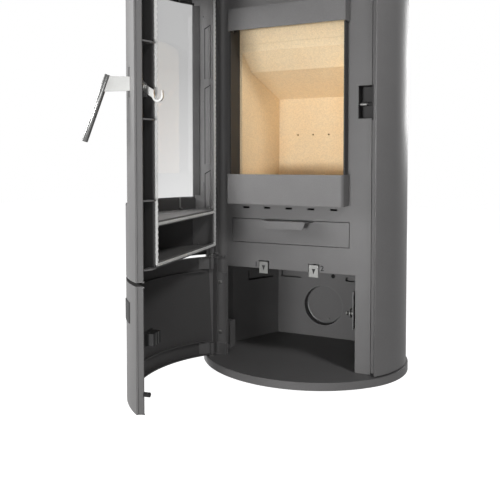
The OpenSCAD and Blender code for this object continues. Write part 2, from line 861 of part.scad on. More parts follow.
module baffle_lower() {
    back = lining_back_y;
    fire_board([[back, baffle_z], [baffle_mid_y, baffle_mid_z],
        [baffle_mid_y, baffle_mid_z + baffle_t], [back, baffle_z + baffle_t]]);
}

module baffle_upper() {
    fire_board([[baffle_mid_y - board_gap, baffle_mid_z], [lining_front_y, baffle_front_z],
        [lining_front_y, baffle_front_z + baffle_t],
        [baffle_mid_y - board_gap, baffle_mid_z + baffle_t]]);
}

module throat_board() {
    z0 = baffle_front_z + baffle_t + board_gap;
    fire_board([[lining_front_y, z0], [lining_front_y + baffle_t, z0],
        [lining_front_y + baffle_t, fire_z1], [lining_front_y, fire_z1]]);
}

// ---- front fittings ----

// Plan of a shallow tray front: a face that stands off the plate, with a
// rounded bend and a return at each end.
module tray_plan(hw, out, r, t) {
    difference() {
        tray_outline(hw, out, r);
        tray_outline(hw - t, out - t, r - t);
    }
}

module tray_outline(hw, out, r) {
    for (s = [-1, 1])
        translate([s * (hw - r), -out + r]) circle(r);
    translate([-hw + r, -out]) square([2 * (hw - r), out]);
    translate([-hw, -out + r]) square([2 * hw, out - r]);
}

module log_guard() {
    color("#707070") {
        rise(guard_z0 + sheet_t, guard_z1) tray_plan(guard_hw, guard_out, guard_r, sheet_t);
        rise(guard_z0, guard_z0 + sheet_t) tray_outline(guard_hw, guard_out, guard_r);
    }
}

module air_deflector() {
    color("#6a6a6a") rise(lintel_z0, lintel_z1) tray_plan(guard_hw, lintel_out, sheet_t + 1, sheet_t);
}

module ash_box() {
    color("#3c3b3c") difference() {
        block([-tray_hw - sheet_t, plate_back, tray_z - sheet_t],
            [tray_hw + sheet_t, wall_back_y, box_bottom]);
        block([-tray_hw, plate_back - e, tray_z], [tray_hw, wall_back_y - sheet_t, box_bottom + e]);
    }
}

module ash_runners() {
    color("#6a6a6a") both_sides()
        block([runner_x - runner_w / 2, runner_y, tray_z],
            [runner_x + runner_w / 2, wall_back_y - sheet_t, runner_z]);
}

// ---- log compartment ----

// Plan of the compartment's walls, outside the given thickness.
module liner_plan(grow) {
    polygon([[comp_side_hw + grow, plate_back + sheet_t], [comp_side_hw + grow, comp_turn_y],
        [comp_back_hw + grow, comp_back_y + grow], [-comp_back_hw - grow, comp_back_y + grow],
        [-comp_side_hw - grow, comp_turn_y], [-comp_side_hw - grow, plate_back + sheet_t]]);
}

// A slot with an upright leg at its outer end, cut along x through a wall.
module hanging_slot(x_end, x0, w) {
    leg = sign(x0 - x_end) * hang_leg_w;
    block([min(x0, x_end), -sheet_t, hang_z], [max(x0, x_end), 3 * sheet_t, hang_z + w]);
    block([min(x_end, x_end + leg), -sheet_t, hang_z],
        [max(x_end, x_end + leg), 3 * sheet_t, hang_z + hang_leg_h]);
}

module compartment_liner() {
    wall_turn = atan2(comp_back_y - comp_turn_y, liner_taper);
    color("#565656") difference() {
        rise(base_h, ceiling_z) difference() {
            liner_plan(sheet_t);
            liner_plan(0);
            translate([-comp_side_hw, 0]) square([2 * comp_side_hw, plate_back + sheet_t + e]);
        }
        bar_y(comp_back_y - e, comp_back_y + sheet_t + e, 0, inlet_z,
            inlet_r + inlet_wall + collar_step);
        translate([0, comp_back_y, 0]) {
            hanging_slot(-hang_x - hang_len, -hang_x, hang_ws[0]);
            hanging_slot(hang_x + hang_len, hang_x, hang_ws[1]);
        }
        both_sides() translate([-comp_side_hw, comp_turn_y, 0]) rotate([0, 0, wall_turn])
            hanging_slot(side_hang_in, side_hang_in + side_hang_len, side_hang_w);
    }
}

module compartment_ceiling() {
    color("#454445") rise(ceiling_z, ceiling_z + sheet_t) liner_plan(sheet_t);
}

module air_inlet_collar() {
    y0 = back_y - edge_step;
    y1 = y0 + inlet_out;
    color("#4a4647") difference() {
        union() {
            bar_y(comp_back_y, y0, 0, inlet_z, inlet_r + inlet_wall + collar_step);
            bar_y(comp_back_y, y1, 0, inlet_z, inlet_r + inlet_wall);
        }
        bar_y(comp_back_y - e, y1 + e, 0, inlet_z, inlet_r);
    }
}

module air_inlet_cover() {
    y0 = comp_back_y + cover_back;
    color("#6a6a6a") difference() {
        bar_y(y0, y0 + cover_t, 0, inlet_z, inlet_r);
        bar_y(y0 - e, y0 + cover_t + e, cover_screw_x, inlet_z - inlet_r + cover_screw_up,
            cover_screw_r);
    }
}

module air_inlet_screw() {
    y0 = comp_back_y + cover_back;
    z = inlet_z - inlet_r + cover_screw_up;
    color("#c8c8c8") {
        bar_y(y0 - 1.25 * cover_screw_r, y0, cover_screw_x, z, 2 * cover_screw_r);
        bar_y(y0, y0 + cover_t + 1.5 * cover_screw_r, cover_screw_x, z, cover_screw_r);
    }
}

// A bent bracket behind the front plate, from its free edge out to the side wall.
module bent_bracket(z0, z1) {
    y1 = plate_back + bracket_d;
    rise(z0, z1) {
        translate([bracket_x, plate_back + board_gap]) square([sheet_t, bracket_d - board_gap]);
        translate([bracket_x, y1 - sheet_t]) square([comp_side_hw - bracket_x, sheet_t]);
    }
}

module side_bracket() {
    color("#8a8a8a") {
        bent_bracket(bracket_z0, bracket_z1);
        mirror([1, 0, 0]) bent_bracket(low_bracket_z0, low_bracket_z1);
    }
}

module side_bolt() {
    y = plate_back + bracket_d / 2;
    x = bracket_x - bolt_len;
    color("#d0d0d0") {
        bar_x(x, x + bolt_head_h, y, bolt_z, 1.8 * bolt_r);
        bar_x(x, bracket_x, y, bolt_z, bolt_r);
        bar_x(bracket_x - 2 * bolt_head_h, bracket_x - 2 * bolt_head_h + 2, y, bolt_z, washer_r);
        bar_x(bracket_x - 2 * bolt_head_h, bracket_x, y, bolt_z, 1.8 * bolt_r);
    }
}

module lever_guides() {
    color("#6a6a6a") for (s = [-1, 1], y = guide_ys)
        difference() {
            block([s * air_x - air_bar_w / 2 - guide_wall, y, bar_z0 - guide_wall],
                [s * air_x + air_bar_w / 2 + guide_wall, y + guide_len, ceiling_z]);
            block([s * air_x - air_bar_w / 2 - slide_gap, y - e, bar_z0 - slide_gap],
                [s * air_x + air_bar_w / 2 + slide_gap, y + guide_len + e, bar_z0 + air_bar_t + slide_gap]);
        }
}

// ---- catch and hinges ----

module catch_box() {
    w = catch_wall;
    color("#2c2c2c") difference() {
        block([catch_x - w, plate_back, catch_z0 - w], [plate_hw + w, catch_d + plate_back, catch_z1 + w]);
        block([catch_x, plate_back - e, catch_z0],
            [plate_hw, catch_d + plate_back - w, catch_z1]);
    }
    color("#9a9a9a") bar_x(catch_x - e, plate_hw + e, roller_in, roller_z, roller_r / 2);
}

module catch_roller() {
    color("#d8d8d8") difference() {
        bar_x(hook_x - roller_len / 2, hook_x + roller_len / 2, roller_in, roller_z, roller_r);
        bar_x(hook_x - roller_len, hook_x + roller_len, roller_in, roller_z, roller_r / 2 + run_gap);
    }
}

module hinge_lug(z0) {
    difference() {
        union() {
            bar_z(z0, z0 + lug_t, -hinge_x, hinge_y, knuckle_r);
            block([-hinge_x - knuckle_r, hinge_y, z0], [-hinge_x + knuckle_r, 0, z0 + lug_t]);
            block([-plate_hw, -sheet_t, z0 - lug_foot_h], [-hinge_x + knuckle_r + lug_foot_w, 0, z0]);
        }
        bar_z(z0 - e, z0 + lug_t + e, -hinge_x, hinge_y, pin_r);
    }
}

module hinge_lugs() {
    color("#4f4f4f") {
        hinge_lug(top_lug_z);
        hinge_lug(mid_lug_z);
    }
}

module hinge_pins() {
    color("#a8a8a8") {
        bar_z(fire_door_z1 - sheet_t - pin_in, top_lug_z + lug_t, -hinge_x, hinge_y, pin_r);
        bar_z(log_z1 - sheet_t - pin_in, fire_door_z0 + sheet_t + pin_in, -hinge_x, hinge_y, pin_r);
        bar_z(base_h, log_z0 + sheet_t + pin_in, -hinge_x, hinge_y, pin_r);
        bar_z(base_h, log_z0 - collar_gap, -hinge_x, hinge_y, knuckle_r);
    }
}

module jamb_strip() {
    color("#565656") difference() {
        union() {
            block([-plate_hw + jamb_inset, -sheet_t, base_h], [-comp_hw - jamb_inset, 0, jamb_top]);
            block([-plate_hw, -jamb_foot_out, base_h], [-comp_hw - jamb_foot_inset, 0, jamb_foot_top]);
        }
        for (z = jamb_screw_zs) bar_y(-sheet_t - e, e, -jamb_screw_x, z, jamb_screw_r);
    }
}

module jamb_screws() {
    color("#b0b0b0") for (z = jamb_screw_zs) {
        bar_y(-sheet_t, 0, -jamb_screw_x, z, jamb_screw_r);
        bar_y(-sheet_t - jamb_screw_r * 0.7, -sheet_t, -jamb_screw_x, z, 1.8 * jamb_screw_r);
    }
}

// ---- fire door, drawn closed ----

// Plan of a door's folded free edge; the hinge side is its mirror image.
module fold_plan() {
    y = arc_y(skin_r, door_hw);
    polygon([[door_hw, y], [fold_x + sheet_t, fold_y], [fold_x, fold_y], [door_hw - sheet_t, y]]);
}

// A curved door sheet with folded edges all round.
module curved_skin(z0, z1) {
    rise(z0, z1) {
        door_arc(skin_r, skin_in, door_hw);
        both_sides() fold_plan();
    }
    for (z = [z0, z1 - sheet_t])
        rise(z, z + sheet_t) door_arc(skin_r, skin_r - fold_d, door_hw - rim_inset);
}

module pin_hole(z0, z1) {
    bar_z(z0 - e, z1 + e, -hinge_x, hinge_y, pin_r + pin_hole_gap);
}

module door_skin() {
    color("#5e5e5e") swing(fire_open) difference() {
        curved_skin(fire_door_z0, fire_door_z1);
        block([-window_hw, -far, window_z0], [window_hw, 0, window_z1]);
        block([lever_x - lever_t / 2 - arm_slot_gap, -skin_r, spindle_z - arm_slot_down],
            [lever_x + lever_t / 2 + arm_slot_gap, arc_y(skin_r, lever_x) + fold_d,
                spindle_z + arm_slot_up]);
        pin_hole(fire_door_z0, fire_door_z1);
    }
}

module frame_shelf(z0, z1) {
    rise(z0, z1) door_room(skin_in, frame_in, frame_y);
}

module channel_rail(z0, z1) {
    block([-rope_hw + rope_r, channel_y - channel_t, z0], [rope_hw - rope_r, frame_y, z1]);
}

module door_frame() {
    leg = rope_r + channel_t;
    color("#454445") swing(fire_open) {
        difference() {
            rise(frame_z0 - sheet_t, frame_z1 + sheet_t) difference() {
                door_room(skin_in, frame_hw, frame_y);
                door_room(far, frame_in, e);
            }
            rise(window_z0 - glass_lap - glass_gap, window_z1 + glass_lap + glass_gap)
                door_arc(skin_r, glass_r - glass_t - glass_gap, glass_hw);
        }
        frame_shelf(frame_z0 - sheet_t, frame_z0);
        difference() {
            frame_shelf(rope_mid_z + rope_r, rope_mid_z + rope_r + sheet_t);
            both_sides() block([rope_hw - rope_r, channel_y, rope_mid_z], [frame_in, 0, rope_z1]);
        }
        frame_shelf(frame_z1, frame_z1 + sheet_t);
        channel_rail(rope_z0 + rope_r, rope_z0 + leg);
        channel_rail(rope_mid_z - leg, rope_mid_z - rope_r);
        channel_rail(rope_z1 - leg, rope_z1 - rope_r);
        both_sides() {
            difference() {
                block([rope_hw - leg, channel_y - channel_t, frame_z0],
                    [rope_hw - rope_r, frame_y, frame_z1]);
                for (z = [rope_z0, rope_mid_z, rope_z1])
                    block([0, channel_y, z - rope_r], [frame_in, 0, z + rope_r]);
            }
            block([rope_hw - leg, channel_y - channel_t, frame_z0],
                [frame_in + e, channel_y, frame_z1]);
        }
        for (z = [rope_z0, rope_mid_z, rope_z1])
            block([-frame_in, channel_y - channel_t, z - rope_r - e],
                [frame_in, channel_y, z + rope_r + e]);
    }
}

module door_glass() {
    color("#9fb0b4", 0.35) swing(fire_open) rise(window_z0 - glass_lap, window_z1 + glass_lap)
        door_arc(glass_r, glass_r - glass_t, glass_hw);
}

module glass_strips() {
    y1 = channel_y - channel_t - strip_back;
    color("#2c2c2c") swing(fire_open) both_sides() rise(window_z0 + glass_lap, window_z1 - glass_lap)
        intersection() {
            translate([0, front_cy]) circle(glass_r - glass_t);
            translate([frame_in - sheet_t, -far]) square([sheet_t, far + y1]);
        }
}

module glass_ledge() {
    z0 = rope_mid_z + rope_r + sheet_t;
    color("#2f2f2f") swing(fire_open)
        rise(z0, window_z0 - glass_lap) door_arc(glass_r - glass_t, glass_r - glass_t - 2, frame_in);
}

module frame_plates() {
    color("#575351") swing(fire_open) both_sides()
        for (z = frame_plate_zs)
            across(frame_in - frame_plate_t, frame_in)
                polygon([[-frame_plate_out - frame_plate_w, z[0]],
                    [-frame_plate_out, z[0] + frame_plate_slant / 2], [-frame_plate_out, z[1]],
                    [-frame_plate_out - frame_plate_w / 2, z[1] + frame_plate_slant],
                    [-frame_plate_out - frame_plate_w, z[1] - frame_plate_slant / 2]]);
}

module door_stiffeners() {
    color("#6a6a6a") swing(fire_open) for (z = tab_zs)
        rise(z - tab_t / 2, z + tab_t / 2)
            polygon([[frame_hw, -tab_gap], [frame_hw + tab_w, -tab_gap], [fold_x, fold_y],
                [fold_x + fold_lean * tab_d, fold_y - tab_d], [frame_hw, fold_y - tab_d]]);
}

// The rope's long loop: four straight runs with square ends where they meet.
module sealing_rope() {
    color("#c9c6bf") swing(fire_open) {
        both_sides() bar_z(rope_z0 - rope_r, rope_z1 + rope_r, rope_hw, rope_y, rope_r);
        for (z = [rope_z0, rope_z1]) bar_x(-rope_hw, rope_hw, rope_y, z, rope_r);
    }
}

module cross_rope() {
    color("#c9c6bf") swing(fire_open) difference() {
        bar_x(-rope_hw, rope_hw, rope_y, rope_mid_z, rope_r);
        both_sides() bar_z(rope_z0, rope_z1, rope_hw, rope_y, rope_r);
    }
}

module door_knuckles() {
    color("#4f4f4f") swing(fire_open)
        for (z = [fire_door_z0 + sheet_t, fire_door_z1 - sheet_t - knuckle_h]) difference() {
            union() {
                bar_z(z, z + knuckle_h, -hinge_x, hinge_y, knuckle_r);
                block([-hinge_x, hinge_y - sheet_t, z], [-frame_hw, hinge_y + sheet_t, z + knuckle_h]);
            }
            bar_z(z - e, z + knuckle_h + e, -hinge_x, hinge_y, pin_r + run_gap);
        }
}

// ---- handle and latch, drawn with the door closed ----

module spindle_bracket() {
    r = spindle_r + cheek_wall;
    foot_z = spindle_z - cheek_down;
    cheeks = [[frame_hw, frame_hw + cheek_t],
        [frame_hw + bracket_w - cheek_t, frame_hw + bracket_w]];
    color("#4f4f4f") swing(fire_open) difference() {
        intersection() {
            union() {
                for (c = cheeks) {
                    bar_x(c[0], c[1], -spindle_out, spindle_z, r);
                    block([c[0], -spindle_out - r, foot_z], [c[1], -spindle_out + r, spindle_z]);
                }
                block([frame_hw, -spindle_out - 2 * r, foot_z],
                    [frame_hw + bracket_w, -spindle_out, foot_z + sheet_t]);
            }
            translate([0, front_cy, 0]) cylinder(h = 2 * stove_h, r = skin_in);
        }
        bar_x(frame_hw - e, frame_hw + bracket_w + e, -spindle_out, spindle_z, spindle_r + run_gap);
    }
}

module handle_spindle() {
    color("#a8a8a8") swing(fire_open)
        bar_x(frame_hw + cheek_t / 4, frame_hw + bracket_w + cheek_t / 8, -spindle_out, spindle_z,
            spindle_r);
}

module grip_bar(r) {
    rise = grip_top_z - grip_low_z;
    run = grip_low_out - grip_top_out;
    translate([lever_x, -grip_low_out, grip_low_z]) rotate([-atan(run / rise), 0, 0])
        cylinder(h = sqrt(rise * rise + run * run), r = r);
}

module handle_arm() {
    y = -spindle_out;
    z = spindle_z;
    color("#d9d9d9") swing(fire_open) difference() {
        across(lever_x - lever_t / 2, lever_x + lever_t / 2) difference() {
            union() {
                translate([y, z]) circle(arm_d);
                polygon([[y, z + arm_d], [y - arm_knee, z + arm_rise],
                    [-grip_top_out, grip_top_z - lever_t / 2],
                    [-grip_top_out - arm_end_slant, grip_top_z - arm_end_h],
                    [y - arm_knee, z - arm_d], [y, z - arm_d]]);
            }
            translate([y, z]) circle(spindle_r);
        }
        grip_bar(grip_r);
    }
}

module handle_grip() {
    color("#9d9d9d") swing(fire_open) grip_bar(grip_r);
}

// The hook: a hub on the spindle, a shank, and a cup that holds the roller.
module latch_hook() {
    y = -spindle_out;
    z = spindle_z;
    x0 = hook_x - lever_t / 2;
    x1 = hook_x + lever_t / 2;
    out_r = hook_in_r + hook_w;
    tip_y = roller_in + hook_in_r;
    shank_y = roller_in - hook_in_r - 0.5;
    color("#d9d9d9") swing(fire_open) difference() {
        union() {
            bar_x(x0, x1, y, z, hub_r);
            difference() {
                bar_x(x0, x1, roller_in, hook_cz, out_r);
                bar_x(x0 - 1, x1 + 1, roller_in, hook_cz, hook_in_r);
                block([x0 - 1, roller_in - out_r - 1, hook_cz + 2],
                    [x1 + 1, roller_in + out_r + 1, hook_cz + out_r + 1]);
            }
            across(x0, x1) polygon([[tip_y + 0.5, hook_cz - 1], [tip_y + hook_w - 0.5, hook_cz - 1],
                [tip_y + hook_w - 1, hook_cz + hook_up], [tip_y + 1, hook_cz + hook_up]]);
            across(x0, x1) polygon([[y, z + hub_r - 0.5], [shank_y, hook_cz + out_r],
                [shank_y, hook_cz - 1], [roller_in - out_r + 0.5, hook_cz - 3],
                [y, z - hub_r + 0.5]]);
        }
        bar_x(x0 - 1, x1 + 1, y, z, spindle_r);
    }
}

// ---- log compartment door, drawn closed ----

module log_door_skin() {
    rib_in = sheet_t + knuckle_h + rib_gap;
    color("#5e5e5e") swing(log_open) {
        difference() {
            curved_skin(log_z0, log_z1);
            pin_hole(log_z0, log_z1);
        }
        for (z = [log_z0 + rib_in, log_z1 - rib_in - rib_h])
            rise(z, z + rib_h)
                door_arc(skin_r - sheet_t / 2, skin_in - rib_d, hinge_x - rib_end);
    }
}

module log_door_knuckles() {
    color("#4f4f4f") swing(log_open)
        for (z = [log_z0 + sheet_t, log_z1 - sheet_t - knuckle_h]) difference() {
            union() {
                bar_z(z, z + knuckle_h, -hinge_x, hinge_y, knuckle_r);
                intersection() {
                    rise(z, z + knuckle_h) polygon([[-hinge_x, hinge_y + hinge_arm_w / 2],
                        [-hinge_x + hinge_arm_in, hinge_y - hinge_arm_out + hinge_arm_w / 2],
                        [-hinge_x + hinge_arm_in / 2, hinge_y - hinge_arm_out],
                        [-hinge_x, hinge_y - hinge_arm_w / 2]]);
                    translate([0, front_cy, z]) cylinder(h = knuckle_h, r = skin_in);
                }
            }
            bar_z(z - e, z + knuckle_h + e, -hinge_x, hinge_y, pin_r + run_gap);
        }
}

module log_door_pull() {
    color("#1c1c1c") swing(log_open) rise(grip_plate_z - grip_plate_hh, grip_plate_z + grip_plate_hh)
        intersection() {
            door_arc(skin_r + grip_plate_out, skin_r, door_hw);
            translate([grip_plate_x, -far]) square([grip_plate_w, far]);
        }
}

module magnet_catch() {
    z1 = magnet_z0 + magnet_h;
    y0 = fold_y - magnet_back;
    color("#3a3a3a") swing(log_open) {
        rise(magnet_z0 - sheet_t, z1 + sheet_t) polygon([[magnet_x, y0 - sheet_t],
            [fold_x + fold_lean * (fold_y - y0 + sheet_t), y0 - sheet_t],
            [fold_x + fold_lean * (fold_y - y0), y0], [magnet_x, y0]]);
        block([magnet_x, y0 - e, magnet_z0], [magnet_x + magnet_w, -magnet_gap, z1]);
    }
}

module door_buffer() {
    color("#1c1c1c") swing(log_open) bar_y(fold_y, -magnet_gap, fold_x + 1, buffer_z, buffer_r);
}

// ---- ash drawer ----

module ash_pan() {
    y0 = plate_back;
    y1 = plate_back + pan_len;
    z1 = drawer_z + drawer_h - pan_drop;
    color("#7a7a7a") difference() {
        block([-pan_hw, y0, drawer_z], [pan_hw, y1, z1]);
        block([-pan_hw + pan_sheet, y0 + pan_sheet, drawer_z + pan_sheet],
            [pan_hw - pan_sheet, y1 - pan_sheet, z1 + e]);
    }
}

module ash_drawer_front() {
    z1 = drawer_z + drawer_h;
    lip = pan_sheet;
    color("#707070") {
        block([-drawer_hw, 0, drawer_z], [drawer_hw, plate_back, z1]);
        rise(z1 - lip - 0.5, z1 - 0.5)
            polygon([[-pull_hw - pull_slant, e], [-pull_hw, -pull_out], [pull_hw, -pull_out],
                [pull_hw + pull_slant, e]]);
        translate([0, -pull_out + lip, 0]) rotate([90, 0, 0]) linear_extrude(lip)
            polygon([[-pull_hw, z1 - 0.5], [-pull_hw + pull_slant, z1 - pull_h],
                [pull_hw - pull_slant, z1 - pull_h], [pull_hw, z1 - 0.5]]);
    }
}

// ---- air levers ----

module air_lever(x) {
    color("#8d8d8d") {
        block([x - air_tab_w / 2, -air_tab_t, air_tab_z0], [x + air_tab_w / 2, 0, air_tab_z1]);
        block([x - air_bar_w / 2, -e, bar_z0], [x + air_bar_w / 2, air_bar_len, bar_z0 + air_bar_t]);
    }
}

module secondary_air_lever() {
    air_lever(-air_x);
}

module primary_air_lever() {
    air_lever(air_x);
}

base_plate();
levelling_feet();
front_plate();
side_shell_left();
side_shell_right();
back_panel();
top_plate();
flue_collar();
firebox_body();
opening_collar();
lining_left();
lining_right();
lining_back();
lining_floor();
fire_grate();
baffle_lower();
baffle_upper();
throat_board();
log_guard();
air_deflector();
ash_box();
ash_runners();
compartment_liner();
compartment_ceiling();
air_inlet_collar();
air_inlet_cover();
air_inlet_screw();
catch_box();
catch_roller();
hinge_lugs();
hinge_pins();
jamb_strip();
jamb_screws();
side_bracket();
side_bolt();
lever_guides();
door_skin();
door_frame();
door_glass();
glass_strips();
glass_ledge();
frame_plates();
door_stiffeners();
sealing_rope();
cross_rope();
door_knuckles();
spindle_bracket();
handle_spindle();
handle_arm();
handle_grip();
latch_hook();
log_door_skin();
log_door_knuckles();
log_door_pull();
magnet_catch();
door_buffer();
ash_pan();
ash_drawer_front();
secondary_air_lever();
primary_air_lever();
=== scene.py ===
# %% [markdown]
# # An oval steel log stove with its doors open
# The stove is a set of bent and curved steel sheets: a flat front plate, two
# curved side shells, a base, a top, and two curved doors on one hinge line.
# The fire door holds a curved pane of ceramic glass and a loop of braided
# rope, and the fire burns in a box of pale pressed boards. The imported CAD
# model already has every solid in its right place and size, so this script
# loads it, dresses each solid in a finish, and adds what is too fine for the
# solids: the braid of the ropes, screw heads, marks on the levers, edges.

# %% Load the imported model
import math

import bmesh
import bpy
from mathutils import Matrix, Vector


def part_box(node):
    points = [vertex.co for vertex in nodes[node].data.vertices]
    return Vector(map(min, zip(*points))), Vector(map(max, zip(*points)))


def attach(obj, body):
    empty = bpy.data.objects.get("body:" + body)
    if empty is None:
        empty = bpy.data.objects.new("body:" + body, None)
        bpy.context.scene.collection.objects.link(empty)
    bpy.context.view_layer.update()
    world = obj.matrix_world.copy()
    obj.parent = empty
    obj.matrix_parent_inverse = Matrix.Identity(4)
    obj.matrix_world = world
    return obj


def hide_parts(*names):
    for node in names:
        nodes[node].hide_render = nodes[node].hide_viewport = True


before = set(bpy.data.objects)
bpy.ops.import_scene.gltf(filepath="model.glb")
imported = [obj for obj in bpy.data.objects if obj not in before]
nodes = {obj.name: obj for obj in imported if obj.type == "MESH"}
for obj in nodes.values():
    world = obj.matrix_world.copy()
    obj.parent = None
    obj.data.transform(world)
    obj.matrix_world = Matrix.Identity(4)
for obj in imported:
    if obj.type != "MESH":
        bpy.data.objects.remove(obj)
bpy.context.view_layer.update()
MM = 0.001

# %% [markdown]
# ## The camera
# The picture was taken from the right of the stove and a little above its
# middle, so the flat front plate is seen at 25 degrees and the open doors
# are nearer the camera than the fire. The lens is set low on its plate more
# than it is tilted, which keeps the stove's upright edges nearly parallel:
# that is what the small vertical shift does here.

# %% Camera
EYE = (0.6300, -1.5572, 0.5541)
YAW, PITCH = 25.5, 2.2
LENS_MM, SHIFT_Y = 45.9, -0.127

camera_data = bpy.data.cameras.new("camera")
camera_data.lens = LENS_MM
camera_data.sensor_width = 36.0
camera_data.shift_y = SHIFT_Y
camera = bpy.data.objects.new("camera", camera_data)
camera.location = EYE
camera.rotation_euler = (math.radians(90 - PITCH), 0, math.radians(YAW))
bpy.context.scene.collection.objects.link(camera)
bpy.context.scene.camera = camera
bpy.context.scene.view_settings.view_transform = "Standard"
print(f"camera: {LENS_MM} mm lens at {EYE}, turned {YAW} and down {PITCH} degrees")

# %% [markdown]
# ## Small helpers for nodes and colours
# Every finish below is a little tree of shader nodes. One function adds any
# node: its settings, its inputs, and a link wherever an input is given as
# another node's output. Colours are written as they look on a screen, so a
# second function turns a hex value into the linear numbers that a shader
# works in.

# %% Node and colour helpers
def rgb(hex_value):
    """A hex colour such as "#808080" as linear red, green, blue and alpha."""
    parts = [int(hex_value[i:i + 2], 16) / 255 for i in (1, 3, 5)]
    linear = [c / 12.92 if c <= 0.04045 else ((c + 0.055) / 1.055) ** 2.4 for c in parts]
    return (*linear, 1.0)


def add(tree, kind, inputs=None, **settings):
    """Add a node; inputs holds plain values or the outputs of other nodes."""
    made = tree.nodes.new("ShaderNode" + kind)
    for name, value in settings.items():
        setattr(made, name, value)
    for name, value in (inputs or {}).items():
        if isinstance(value, bpy.types.NodeSocket):
            tree.links.new(value, made.inputs[name])
        else:
            made.inputs[name].default_value = value
    return made


def start(name):
    """A new material, its tree, its shader, and its coordinates in metres."""
    made = bpy.data.materials.new(name)
    made.use_nodes = True
    tree = made.node_tree
    place = add(tree, "TexCoord").outputs["Object"]
    return made, tree, tree.nodes["Principled BSDF"], place


def per_metre(size_mm):
    """Noise scale that gives features of about this size."""
    return 1000 / size_mm


print("mid grey as a linear number:", round(rgb("#808080")[0], 3))

# %% [markdown]
# ## The room
# The photo is a cut-out on pure white. A pale floor and a white world stand
# in for the studio. The world is white only for rays that look at it, also
# by way of metal or glass, while the light that it sheds on the stove is
# kept low, so the paint can show its form. The floor glows in the same way,
# a little below white, and the lamps add the rest, which leaves a faint
# shadow under the base.

# %% World and floor
world = bpy.data.worlds.new("white room")
world.use_nodes = True
bpy.context.scene.world = world
room = world.node_tree
ROOM_LIGHT, GLOSSY_LIGHT, FLOOR_LIGHT = 0.02, 0.6, 0.96


def looked_at(tree):
    """1 for a ray that sees the studio, also through glass; less by way of a shine."""
    seen = add(tree, "LightPath").outputs
    direct = add(tree, "Math", {0: seen["Is Camera Ray"], 1: seen["Is Transmission Ray"]},
                 operation="MAXIMUM").outputs[0]
    mirrored = add(tree, "Math", {0: seen["Is Glossy Ray"], 1: GLOSSY_LIGHT},
                   operation="MULTIPLY").outputs[0]
    return add(tree, "Math", {0: direct, 1: mirrored}, operation="MAXIMUM").outputs[0]


strength = add(room, "MapRange", {"Value": looked_at(room), "To Min": ROOM_LIGHT,
                                  "To Max": 1.0})
shine = room.nodes["Background"]
room.links.new(strength.outputs["Result"], shine.inputs["Strength"])
shine.inputs["Color"].default_value = rgb("#ffffff")

floor_mesh = bpy.data.meshes.new("floor")
REACH = 6.0
floor_mesh.from_pydata([(-REACH, -REACH, 0), (REACH, -REACH, 0), (REACH, REACH, 0),
                        (-REACH, REACH, 0)], [], [(0, 1, 2, 3)])
floor = bpy.data.objects.new("floor", floor_mesh)
bpy.context.scene.collection.objects.link(floor)
floor_paint, tree, shader, _ = start("pale studio floor")
shader.inputs["Base Color"].default_value = rgb("#9a9a9a")
shader.inputs["Roughness"].default_value = 0.9
shader.inputs["Emission Color"].default_value = rgb("#ffffff")
own_light = add(tree, "Math", {0: looked_at(tree), 1: FLOOR_LIGHT},
                operation="MULTIPLY").outputs[0]
tree.links.new(own_light, shader.inputs["Emission Strength"])
floor_mesh.materials.append(floor_paint)
print(f"floor: {2 * REACH} m wide, world: {world.name}")

# %% [markdown]
# ## The lamps
# The shadows in the photo tell where its light stood. The strip of front
# plate behind the open door is nearly black and as wide as the door's tip
# stands in from the hinge, so the main softbox was straight ahead. The shadow
# of the deflector falls upward, so it stood low. It is narrow, since the edge
# of the door's shadow is fairly sharp. One on the left, higher, catches the
# outer face of the doors, which is brightest at its top. A weak one in front
# on the right reaches the left walls of the fire and of the log compartment.
# The one high on the right lights the ropes and the curved side, which
# darkens towards the floor. The last is for views of the back alone.

# %% Softboxes
def softbox(name, at, aim, width, height, watts):
    """A rectangular lamp at one place, in metres, turned towards another."""
    data = bpy.data.lights.new(name, "AREA")
    data.shape = "RECTANGLE"
    data.size, data.size_y, data.energy = width, height, watts
    lamp = bpy.data.objects.new(name, data)
    lamp.location = at
    lamp.rotation_euler = (Vector(aim) - Vector(at)).to_track_quat("-Z", "Y").to_euler()
    lamp.visible_transmission = False       # no white patch behind the window
    bpy.context.scene.collection.objects.link(lamp)


MIDDLE = (0.0, 0.0, 0.55)
softbox("front", (-0.15, -3.5, 0.22), MIDDLE, 0.5, 0.5, 65)
softbox("left", (-2.6, -1.0, 1.25), (-0.3, -0.3, 0.85), 0.8, 1.0, 74)
softbox("front right", (1.4, -3.0, 0.50), MIDDLE, 0.6, 0.8, 13)
softbox("high right", (1.5, -0.8, 1.95), (0.0, -0.1, 0.65), 0.4, 0.4, 18)
softbox("behind", (1.0, 3.2, 1.20), MIDDLE, 1.0, 1.0, 45)

# %% [markdown]
# ## Heat-proof stove paint
# Steel stoves are sprayed with a silicone paint that stands 600 degrees. It
# dries to an even satin of warm dark grey, with a very fine sandy tooth from
# the spray. The tooth is really about 0.3 mm and is drawn at 1.4 mm, or it
# would vanish between pixels. Large, faint clouds of lighter and darker grey
# keep the wide sheets from looking like plastic. The cut edges of the sheets
# are made a little lighter as a painted highlight: a Bevel node gives both
# the soft edge and, where it differs from the flat face, the mask for the
# highlight.

# %% Anthracite paint
EDGE_MM, TOOTH_MM, CLOUD_MM = 0.8, 1.4, 90


